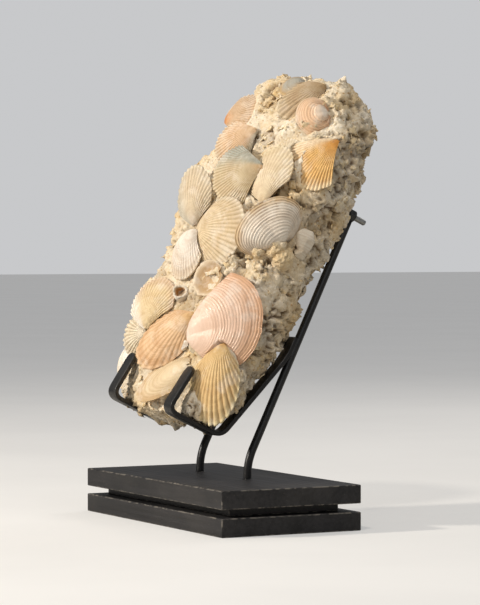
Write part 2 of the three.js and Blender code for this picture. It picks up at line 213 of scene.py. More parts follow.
def makeChalkPatina():
    # chalky worn patches and a fine speckle
    group, given, result = startGroup("chalkPatina", {
        "Color": tint("e8d8bc"), "Chalk": tint("f4eee4"), "Patch Scale": 60.0, "Amount": 0.4},
        {"Color": "Color", "Mask": "Float"})
    patch = ramped(group, noiseField(group, given["Patch Scale"], 5.0, roughness=0.65), 0.48, 0.66)
    mask = maths(group, "MULTIPLY", patch, given["Amount"])
    worn = mixColours(group, mask, given["Color"], given["Chalk"])
    speck = ramped(group, noiseField(group, 900.0, 2.0), 0.56, 0.7, 0.0, 0.22)
    group.links.new(mixColours(group, speck, worn, tint("b59c78")), result["Color"])
    group.links.new(mask, result["Mask"])
    return group


def makeFinePits():
    # small pits; their mask also darkens them inside as painted shade
    group, given, result = startGroup("finePits", {
        "Scale": 420.0, "Size": 0.22, "Share": 0.25}, {"Height": "Float", "Mask": "Float"})
    place = addNode(group, "TexCoord").outputs["Object"]
    cells = addNode(group, "TexVoronoi", None, {"Vector": place, "Scale": given["Scale"]}).outputs
    dip = ramped(group, cells["Distance"], 0.0, given["Size"], 1.0, 0.0)
    pick = addNode(group, "SeparateColor", None, {0: cells["Color"]}).outputs[0]
    chosen = maths(group, "LESS_THAN", pick, given["Share"])
    mask = maths(group, "MULTIPLY", dip, chosen)
    group.links.new(mask, result["Mask"])
    group.links.new(maths(group, "MULTIPLY", mask, -1.0), result["Height"])
    return group


def makeGrowthLines():
    # hair-fine growth lines along the margin and threads along the ribs
    group, given, result = startGroup("growthLines", {
        "Lines": 60.0, "Threads": 60.0, "Line Height": 0.6, "Thread Height": 0.3}, {"Height": "Float"})
    across, along = growthCoordinates(group)
    wander = maths(group, "MULTIPLY_ADD", noiseField(group, 120.0), 0.05, -0.025)
    turns = maths(group, "MULTIPLY", maths(group, "ADD", along, wander), given["Lines"])
    line = maths(group, "SINE", maths(group, "MULTIPLY", turns, 2 * math.pi))
    thread = maths(group, "SINE", maths(group, "MULTIPLY", maths(
        group, "MULTIPLY", across, given["Threads"]), 2 * math.pi))
    height = maths(group, "MULTIPLY", line, given["Line Height"])
    height = maths(group, "MULTIPLY_ADD", thread, given["Thread Height"], height)
    fine = maths(group, "MULTIPLY_ADD", noiseField(group, 1500.0, 2.0), 0.8, height)
    group.links.new(fine, result["Height"])
    return group


def makeCrackLines():
    # old cracks: a mask of thin lines that the material darkens and sinks
    group, given, result = startGroup("crackLines", {
        "Scale": 5.0, "Width": 0.02, "Share": 0.5}, {"Mask": "Float"})
    fan = addNode(group, "UVMap", {"uv_map": "fan"}).outputs["UV"]
    shake = addNode(group, "TexNoise", None, {"Vector": fan, "Scale": 9.0}).outputs["Color"]
    shaken = addNode(group, "VectorMath", {"operation": "MULTIPLY_ADD"}, {
        0: shake, 1: (0.12, 0.12, 0.0), 2: fan}).outputs[0]
    edge = addNode(group, "TexVoronoi", {"feature": "DISTANCE_TO_EDGE"}, {
        "Vector": shaken, "Scale": given["Scale"]}).outputs["Distance"]
    line = ramped(group, edge, 0.0, given["Width"], 1.0, 0.0)
    part = ramped(group, noiseField(group, 45.0, 1.0), 0.45, 0.6)
    mask = maths(group, "MULTIPLY", maths(group, "MULTIPLY", line, part), given["Share"])
    group.links.new(mask, result["Mask"])
    return group


def makeShellGrit():
    # cemented shell sand: grains of many tints with mud between them, and painted shade in the hollows
    group, given, result = startGroup("shellGrit", {
        "Pale": tint("efe3cb"), "Mud": tint("cdb58c"), "Hollow Shade": tint("8f6c42"),
        "Grain Scale": 420.0, "Hollow Shade Amount": 0.9}, {"Color": "Color", "Height": "Float"})
    place = addNode(group, "TexCoord").outputs["Object"]
    shake = noiseField(group, 300.0, 2.0)
    moved = addNode(group, "VectorMath", {"operation": "MULTIPLY_ADD"}, {
        0: shake, 1: (0.0012, 0.0012, 0.0012), 2: place}).outputs[0]
    cells = addNode(group, "TexVoronoi", None, {"Vector": moved, "Scale": given["Grain Scale"]}).outputs
    pick = addNode(group, "SeparateColor", None, {0: cells["Color"]}).outputs
    grain = mixColours(group, ramped(group, pick[0], 0.2, 0.9), given["Mud"], given["Pale"])
    grain = mixColours(group, ramped(group, pick[1], 0.93, 0.99), grain, tint("c3a177"))
    between = ramped(group, cells["Distance"], 0.25, 0.62, 0.0, 0.55)
    colour = mixColours(group, between, grain, given["Mud"])
    broad = ramped(group, noiseField(group, 32.0, 4.0), 0.35, 0.7)
    colour = mixColours(group, broad, colour, mixColours(group, 1.0, colour, tint("eee0c6"), "MULTIPLY"))
    # painted shade: the colour turns dark brown where the rock dips into hollows
    shadeInHollows = addNode(group, "Attribute", {"attribute_name": "shadeInHollows"}).outputs["Fac"]
    hollowShade = maths(group, "MULTIPLY", shadeInHollows, given["Hollow Shade Amount"])
    colour = mixColours(group, hollowShade, colour, given["Hollow Shade"])
    group.links.new(colour, result["Color"])
    sand = noiseField(group, 1400.0, 3.0)
    height = maths(group, "MULTIPLY_ADD", cells["Distance"], -1.0, maths(group, "MULTIPLY", sand, 0.9))
    group.links.new(height, result["Height"])
    return group


def makeEdgeWear():
    # paint rubbed thin along edges
    group, given, result = startGroup("edgeWear", {
        "Color": tint("1b1b1d"), "Worn": tint("6a655e"), "Amount": 0.6},
        {"Color": "Color", "Mask": "Float"})
    edge = addNode(group, "Attribute", {"attribute_name": "edge"}).outputs["Fac"]
    broken = ramped(group, noiseField(group, 190.0, 4.0), 0.4, 0.62)
    mask = maths(group, "MULTIPLY", maths(group, "MULTIPLY", edge, broken), given["Amount"])
    group.links.new(mask, result["Mask"])
    group.links.new(mixColours(group, mask, given["Color"], given["Worn"]), result["Color"])
    return group


def makeWoodGrain():
    # stained grain that runs along the boards
    group, given, result = startGroup("woodGrain", {
        "Dark": tint("141416"), "Light": tint("2b2a2b"), "Contrast": 1.0},
        {"Color": "Color", "Height": "Float"})
    place = addNode(group, "TexCoord").outputs["Object"]
    long = addNode(group, "VectorMath", {"operation": "MULTIPLY"}, {
        0: place, 1: (9.0, 260.0, 260.0)}).outputs[0]
    streaks = noiseField(group, 1.0, 4.0, long, 0.6)
    wide = addNode(group, "VectorMath", {"operation": "MULTIPLY"}, {
        0: place, 1: (4.0, 38.0, 38.0)}).outputs[0]
    figure = noiseField(group, 1.0, 3.0, wide)
    both = maths(group, "MULTIPLY_ADD", streaks, 0.6, maths(group, "MULTIPLY", figure, 0.4))
    mask = maths(group, "MULTIPLY", ramped(group, both, 0.36, 0.64), given["Contrast"])
    group.links.new(mixColours(group, mask, given["Dark"], given["Light"]), result["Color"])
    group.links.new(streaks, result["Height"])
    return group


def makeDust():
    # pale dust and fine scuffs
    group, given, result = startGroup("fineDust", {
        "Color": tint("1b1b1d"), "Dust": tint("9c948a"), "Amount": 0.12},
        {"Color": "Color", "Mask": "Float"})
    cloud = ramped(group, noiseField(group, 14.0, 4.0), 0.42, 0.75)
    speck = ramped(group, noiseField(group, 700.0, 1.0), 0.66, 0.74)
    mask = maths(group, "MULTIPLY", maths(group, "MULTIPLY_ADD", cloud, 0.5, speck), given["Amount"])
    group.links.new(mask, result["Mask"])
    group.links.new(mixColours(group, mask, given["Color"], given["Dust"]), result["Color"])
    return group


growthColour, grooveStainAndShade, chalkPatina = makeGrowthColour(), makeGrooveStainAndShade(), makeChalkPatina()
finePits, growthLines, crackLines = makeFinePits(), makeGrowthLines(), makeCrackLines()
shellGrit, edgeWear, woodGrain, fineDust = makeShellGrit(), makeEdgeWear(), makeWoodGrain(), makeDust()
print("shader groups ready")


def startMaterial(name):
    material = bpy.data.materials.new(name)
    material.use_nodes = True
    return material, material.node_tree, material.node_tree.nodes["Principled BSDF"]


def finishMaterial(tree, shader, colour, roughness, height, depth):
    tree.links.new(colour, shader.inputs["Base Color"])
    tree.links.new(roughness, shader.inputs["Roughness"])
    bump = addNode(tree, "Bump", None, {"Height": height, "Distance": depth, "Strength": 0.7})
    tree.links.new(bump.outputs[0], shader.inputs["Normal"])


def shellMaterial(name, look):
    material, tree, shader = startMaterial(name)
    colour = placeGroup(tree, growthColour, {
        "Tip": tint(look["tip"]), "Body": tint(look["body"]), "Rim": tint(look["rim"]),
        "Flank": tint(look["flank"]), "Tip Reach": look["tipReach"], "Rim Reach": look["rimReach"],
        "Flank From": look["flankSpan"][0], "Flank To": look["flankSpan"][1],
        "Band Count": look["bands"], "Band Strength": look["bandStrength"]})["Color"]
    # groove stain, with painted shade in the grooves on top of it
    grooveShading = placeGroup(tree, grooveStainAndShade, {
        "Color": colour, "Stain And Shade": tint(look["stainShade"]), "Amount": look["stainShadeAmount"]})
    chalk = placeGroup(tree, chalkPatina, {
        "Color": grooveShading["Color"], "Chalk": tint(look["chalk"]), "Amount": look["chalkAmount"]})
    pits = placeGroup(tree, finePits, {"Share": look["pitShare"]})
    # painted shade inside the pits
    colour = mixColours(tree, maths(tree, "MULTIPLY", pits["Mask"], 0.7), chalk["Color"], tint("7a5c3a"))
    cracks = placeGroup(tree, crackLines, {"Share": look["cracks"]})["Mask"]
    colour = mixColours(tree, cracks, colour, tint("4b3826"))
    lines = placeGroup(tree, growthLines, {"Lines": look["lines"], "Threads": look["ribs"] * 3.0})["Height"]
    height = maths(tree, "MULTIPLY_ADD", maths(tree, "ADD", pits["Mask"], cracks), -3.0, lines)
    roughness = ramped(tree, maths(tree, "ADD", chalk["Mask"], grooveShading["Mask"]), 0.0, 0.7, look["gloss"], 0.88)
    shader.inputs["Specular IOR Level"].default_value = 0.4
    finishMaterial(tree, shader, colour, roughness, height, 0.00012)
    return material


def gritMaterial(name, look):
    material, tree, shader = startMaterial(name)
    grit = placeGroup(tree, shellGrit, {
        "Pale": tint(look["pale"]), "Mud": tint(look["mud"]), "Hollow Shade": tint(look["hollowShade"]),
        "Grain Scale": look["grainScale"], "Hollow Shade Amount": look["hollowShadeAmount"]})
    pits = placeGroup(tree, finePits, {"Scale": 260.0, "Size": 0.3, "Share": look["pitShare"]})
    # painted shade inside the pits, in the rock's hollow colour
    dark = maths(tree, "MULTIPLY", pits["Mask"], 0.75)
    colour = mixColours(tree, dark, grit["Color"], tint(look["hollowShade"]))
    height = maths(tree, "MULTIPLY_ADD", pits["Mask"], -1.6, grit["Height"])
    roughness = ramped(tree, grit["Height"], -0.5, 0.9, 0.82, 0.97)
    shader.inputs["Specular IOR Level"].default_value = 0.25
    finishMaterial(tree, shader, colour, roughness, height, look["bumpDepth"])
    return material


def woodMaterial(name, look):
    material, tree, shader = startMaterial(name)
    grain = placeGroup(tree, woodGrain, {"Dark": tint(look["dark"]), "Light": tint(look["light"])})
    worn = placeGroup(tree, edgeWear, {
        "Color": grain["Color"], "Worn": tint(look["worn"]), "Amount": look["wear"]})
    dust = placeGroup(tree, fineDust, {"Color": worn["Color"], "Amount": look["dust"]})
    roughness = ramped(tree, maths(tree, "ADD", grain["Height"], dust["Mask"]), 0.3, 0.9, 0.42, 0.62)
    shader.inputs["Specular IOR Level"].default_value = 0.4
    finishMaterial(tree, shader, dust["Color"], roughness, grain["Height"], 0.00025)
    return material


def steelMaterial(name, look):
    material, tree, shader = startMaterial(name)
    worn = placeGroup(tree, edgeWear, {
        "Color": tint(look["colour"]), "Worn": tint(look["worn"]), "Amount": look["wear"]})
    dust = placeGroup(tree, fineDust, {"Color": worn["Color"], "Amount": look["dust"]})
    film = noiseField(tree, look["filmScale"], 3.0)
    roughness = ramped(tree, film, 0.3, 0.7, look["roughness"][0], look["roughness"][1])
    shader.inputs["Metallic"].default_value = look["metallic"]
    finishMaterial(tree, shader, dust["Color"], roughness, film, look["bumpDepth"])
    return material


# meshes

def makePiece(name, points, faces, material, values=None, fan=None, stands=None, smooth=True):
    mesh = bpy.data.meshes.new(name)
    mesh.from_pydata((np.asarray(points) * millimetre).tolist(), [], faces)
    mesh.polygons.foreach_set("use_smooth", [smooth] * len(mesh.polygons))
    for label, numbers in (values or {}).items():
        layer = mesh.attributes.new(label, "FLOAT", "POINT")
        layer.data.foreach_set("value", np.asarray(numbers, float).ravel())
    if fan is not None:
        corners = np.zeros(len(mesh.loops), int)
        mesh.loops.foreach_get("vertex_index", corners)
        mesh.uv_layers.new(name="fan").data.foreach_set("uv", np.asarray(fan)[corners].ravel())
    mesh.materials.append(material)
    mesh.update()
    piece = bpy.data.objects.new(name, mesh)
    bpy.context.scene.collection.objects.link(piece)
    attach(piece, "root")
    if stands:
        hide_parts(stands)
    return piece


def tubeFaces(rings, count):
    return [[r * count + i, r * count + (i + 1) % count,
             (r + 1) * count + (i + 1) % count, (r + 1) * count + i]
            for r in range(rings - 1) for i in range(count)]


def closedTubeFaces(rings, count):
    last = (rings - 1) * count
    return tubeFaces(rings, count) + [list(range(count))[::-1], [last + i for i in range(count)]]


def gridFaces(rows, columns, start=0, flip=False):
    corner = start + np.arange(rows - 1)[:, None] * columns + np.arange(columns - 1)[None, :]
    quad = np.stack([corner, corner + 1, corner + 1 + columns, corner + columns], axis=-1).reshape(-1, 4)
    return (quad[:, ::-1] if flip else quad).tolist()


# valves: the margin is an ellipse seen from the beak, and each growth ring is that margin
# made smaller and turned about the hinge, which gives the dome and the curled beak

valveKinds = {
    "scallop": {"halfAngle": 52, "middle": 0.5},
    "cockle": {"halfAngle": 118, "middle": 0.46},
}
valveBuild = {"thickness": 1.7, "lift": 1.1, "shoulder": 0.35, "rows": 48, "innerRows": 9,
              "columnsPerRib": 7, "plainColumns": 100, "rowsPerRidge": 5, "firstRing": 0.05, "ribGain": 2.3}
plainValve = {
    "skew": 0.0, "fan": None,
    "ribs": 0, "ribDepth": 0.0, "ribShape": 0.6, "ribWander": 0.12, "ribSpan": (-2.0, 2.0),
    "ridges": 0, "ridgeDepth": 0.0, "ridgeStart": 0.2, "ridgeFade": 0.0,
    "stops": (), "crimp": 0.012, "chips": 0.02, "lumps": 0.5,
    "tip": "eadcc2", "body": "e6d6b6", "rim": "eadfc8", "flank": "efe6d6",
    "tipReach": 0.35, "rimReach": 0.25, "flankSpan": (2.0, 3.0), "bands": 9.0, "bandStrength": 0.3,
    "stainShade": "a98a5c", "stainShadeAmount": 0.5, "chalk": "f3ece0", "chalkAmount": 0.35,
    "pitShare": 0.05, "cracks": 0.0, "lines": 42.0, "gloss": 0.55,
}


def marginCurve(look, angle):
    middle = valveKinds[look["kind"]]["middle"] * look["height"]
    high = look["height"] - middle
    wide = look["height"] * look["width"] / 2
    side = look["height"] * look["skew"]
    a = (np.sin(angle) / wide) ** 2 + (np.cos(angle) / high) ** 2
    b = -2 * (side * np.sin(angle) / wide ** 2 + middle * np.cos(angle) / high ** 2)
    c = (side / wide) ** 2 + (middle / high) ** 2 - 1
    radius = (-b + np.sqrt(np.maximum(b * b - 4 * a * c, 0))) / (2 * a)
    return radius * np.sin(angle), radius * np.cos(angle)


def ribPattern(look, fan, grow, seed):
    if not look["ribs"]:
        return np.zeros(np.broadcast(fan, grow).shape)
    where = np.stack(np.broadcast_arrays(fan * 3, grow * 2.5, fan * 0 + seed), axis=-1)
    phase = look["ribs"] * (fan + 1) / 2 + look["ribWander"] * softNoise(where, 1.0, seed)
    pattern = np.abs(np.cos(np.pi * phase)) ** look["ribShape"]
    low, high = look["ribSpan"]
    ribbed = smoothStep(fan, low - 0.1, low + 0.1) * smoothStep(-fan, -high - 0.1, 0.1 - high)
    return 1 - (1 - pattern) * ribbed


def ridgePattern(look, fan, grow, seed):
    if not look["ridges"]:
        return np.zeros(np.broadcast(fan, grow).shape)
    where = np.stack(np.broadcast_arrays(fan * 2.2, grow * 4, fan * 0 + seed), axis=-1)
    phase = look["ridges"] * grow ** 0.92 + 0.22 * layeredNoise(where, 1.0, seed + 5)
    uneven = 0.7 + 0.45 * softNoise(np.stack(np.broadcast_arrays(
        fan, grow * look["ridges"] * 0.6, fan * 0 + seed), axis=-1), 1.0, seed + 8)
    worn = 1 - look["ridgeFade"] * (1 - smoothStep(np.abs(fan), 0.05, 0.4))
    started = smoothStep(grow + 0 * fan, look["ridgeStart"] - 0.12, look["ridgeStart"] + 0.1)
    return (0.5 + 0.5 * np.cos(2 * np.pi * phase)) ** 0.8 * uneven * worn * started


def valveSheets(look, rows, columns, innerRows, seed):
    half = math.radians(look["fan"] or valveKinds[look["kind"]]["halfAngle"])
    fan = np.linspace(-1, 1, columns)[None, :]
    grow = np.linspace(0, 1, rows)[:, None] * (1 - valveBuild["firstRing"]) + valveBuild["firstRing"]
    sideX, sideY = marginCurve(look, fan * half)
    rib = ribPattern(look, fan, grow, seed)
    ridge = ridgePattern(look, fan, grow, seed)
    edge = np.stack(np.broadcast_arrays(fan * 5, fan * 0, fan * 0 + seed), axis=-1)
    bite = smoothStep(layeredNoise(edge, 1.0, seed + 3), 0.25, 0.75)
    bite = bite + 0.3 * softNoise(edge * 3, 1.0, seed + 4)
    reach = 1 + (look["crimp"] * (rib - 0.6) - look["chips"] * bite) * grow ** 5
    ring = grow * reach
    tilt = look["swell"] * np.log(1 / grow)
    spread = np.sqrt(sideX ** 2 + 4) - 2
    dome = ring * (sideY + valveBuild["shoulder"] * spread) * np.sin(tilt)
    dome = 0.5 * (dome + np.sqrt(dome ** 2 + 0.8)) - 0.45
    sheet = np.stack([ring * sideX, ring * sideY * np.cos(tilt), dome + valveBuild["lift"]], axis=-1)
    sheet[..., 2] += look["lumps"] * softNoise(sheet, look["height"] * 0.35, seed + 7) * grow
    normal = np.cross(np.gradient(sheet, axis=1), np.gradient(sheet, axis=0))
    normal /= np.maximum(np.linalg.norm(normal, axis=-1, keepdims=True), 1e-9)
    relief = valveBuild["ribGain"] * look["ribDepth"] * (rib - 0.7) * grow ** 0.8
    relief = relief + look["ridgeDepth"] * (ridge - 0.3)
    shake = softNoise(np.stack(np.broadcast_arrays(fan * 4, grow * 0, fan * 0 + seed), axis=-1), 1, seed)
    for place, drop in look["stops"]:
        stop = place + 0.02 * shake
        step = smoothStep(grow, stop - 0.012, stop + 0.012) - smoothStep(grow, stop, stop + 0.3)
        relief = relief - drop * step
    relief = relief + 0.12 * layeredNoise(sheet, 4.0, seed + 11)
    outer = sheet + normal * relief[..., None]
    picked = np.linspace(0, rows - 1, innerRows).round().astype(int)
    inner = (sheet - normal * valveBuild["thickness"] + normal * relief[..., None] * 0.4)[picked]
    groove = np.zeros_like(ridge)
    if look["ribs"]:
        groove = np.clip((1 - rib) * smoothStep(grow, 0.05, 0.3), 0, 1)
    if look["ridges"]:
        between = np.clip(0.45 - ridge, 0, 1) * 2.2 * smoothStep(grow, look["ridgeStart"], 1)
        groove = np.clip(groove + between, 0, 1)
    fanMap = np.stack(np.broadcast_arrays((fan + 1) / 2, grow), axis=-1)
    return outer, inner, groove, fanMap, picked


def valveMesh(look, seed, rows=None, columns=None, innerRows=None):
    rows = rows or max(valveBuild["rows"], look["ridges"] * valveBuild["rowsPerRidge"])
    columns = columns or max(valveBuild["plainColumns"], look["ribs"] * valveBuild["columnsPerRib"]) + 1
    innerRows = innerRows or valveBuild["innerRows"]
    outer, inner, groove, fanMap, picked = valveSheets(look, rows, columns, innerRows, seed)
    outerCount = rows * columns
    faces = gridFaces(rows, columns) + gridFaces(innerRows, columns, outerCount, True)
    lastOuter, lastInner = (rows - 1) * columns, outerCount + (innerRows - 1) * columns
    for c in range(columns - 1):
        faces.append([lastOuter + c, lastOuter + c + 1, lastInner + c + 1, lastInner + c])
        faces.append([c + 1, c, outerCount + c, outerCount + c + 1])
    for c, flip in ((0, False), (columns - 1, True)):
        side = [r * columns + c for r in range(rows)]
        side += [outerCount + r * columns + c for r in reversed(range(innerRows))]
        faces.append(side[::-1] if flip else side)
    points = np.concatenate([outer.reshape(-1, 3), inner.reshape(-1, 3)])
    grooves = np.concatenate([groove.ravel(), groove[picked].ravel()])
    fans = np.concatenate([fanMap.reshape(-1, 2), fanMap[picked].reshape(-1, 2)])
    return points, faces, grooves, fans, outerCount


def valveTurn(look):
    turn, nod, spin = (math.radians(a) for a in look["face"])
    turned = Matrix.Rotation(turn, 3, "Y") @ Matrix.Rotation(-nod, 3, "X") @ Matrix.Rotation(-spin, 3, "Z")
    return np.array(turned)


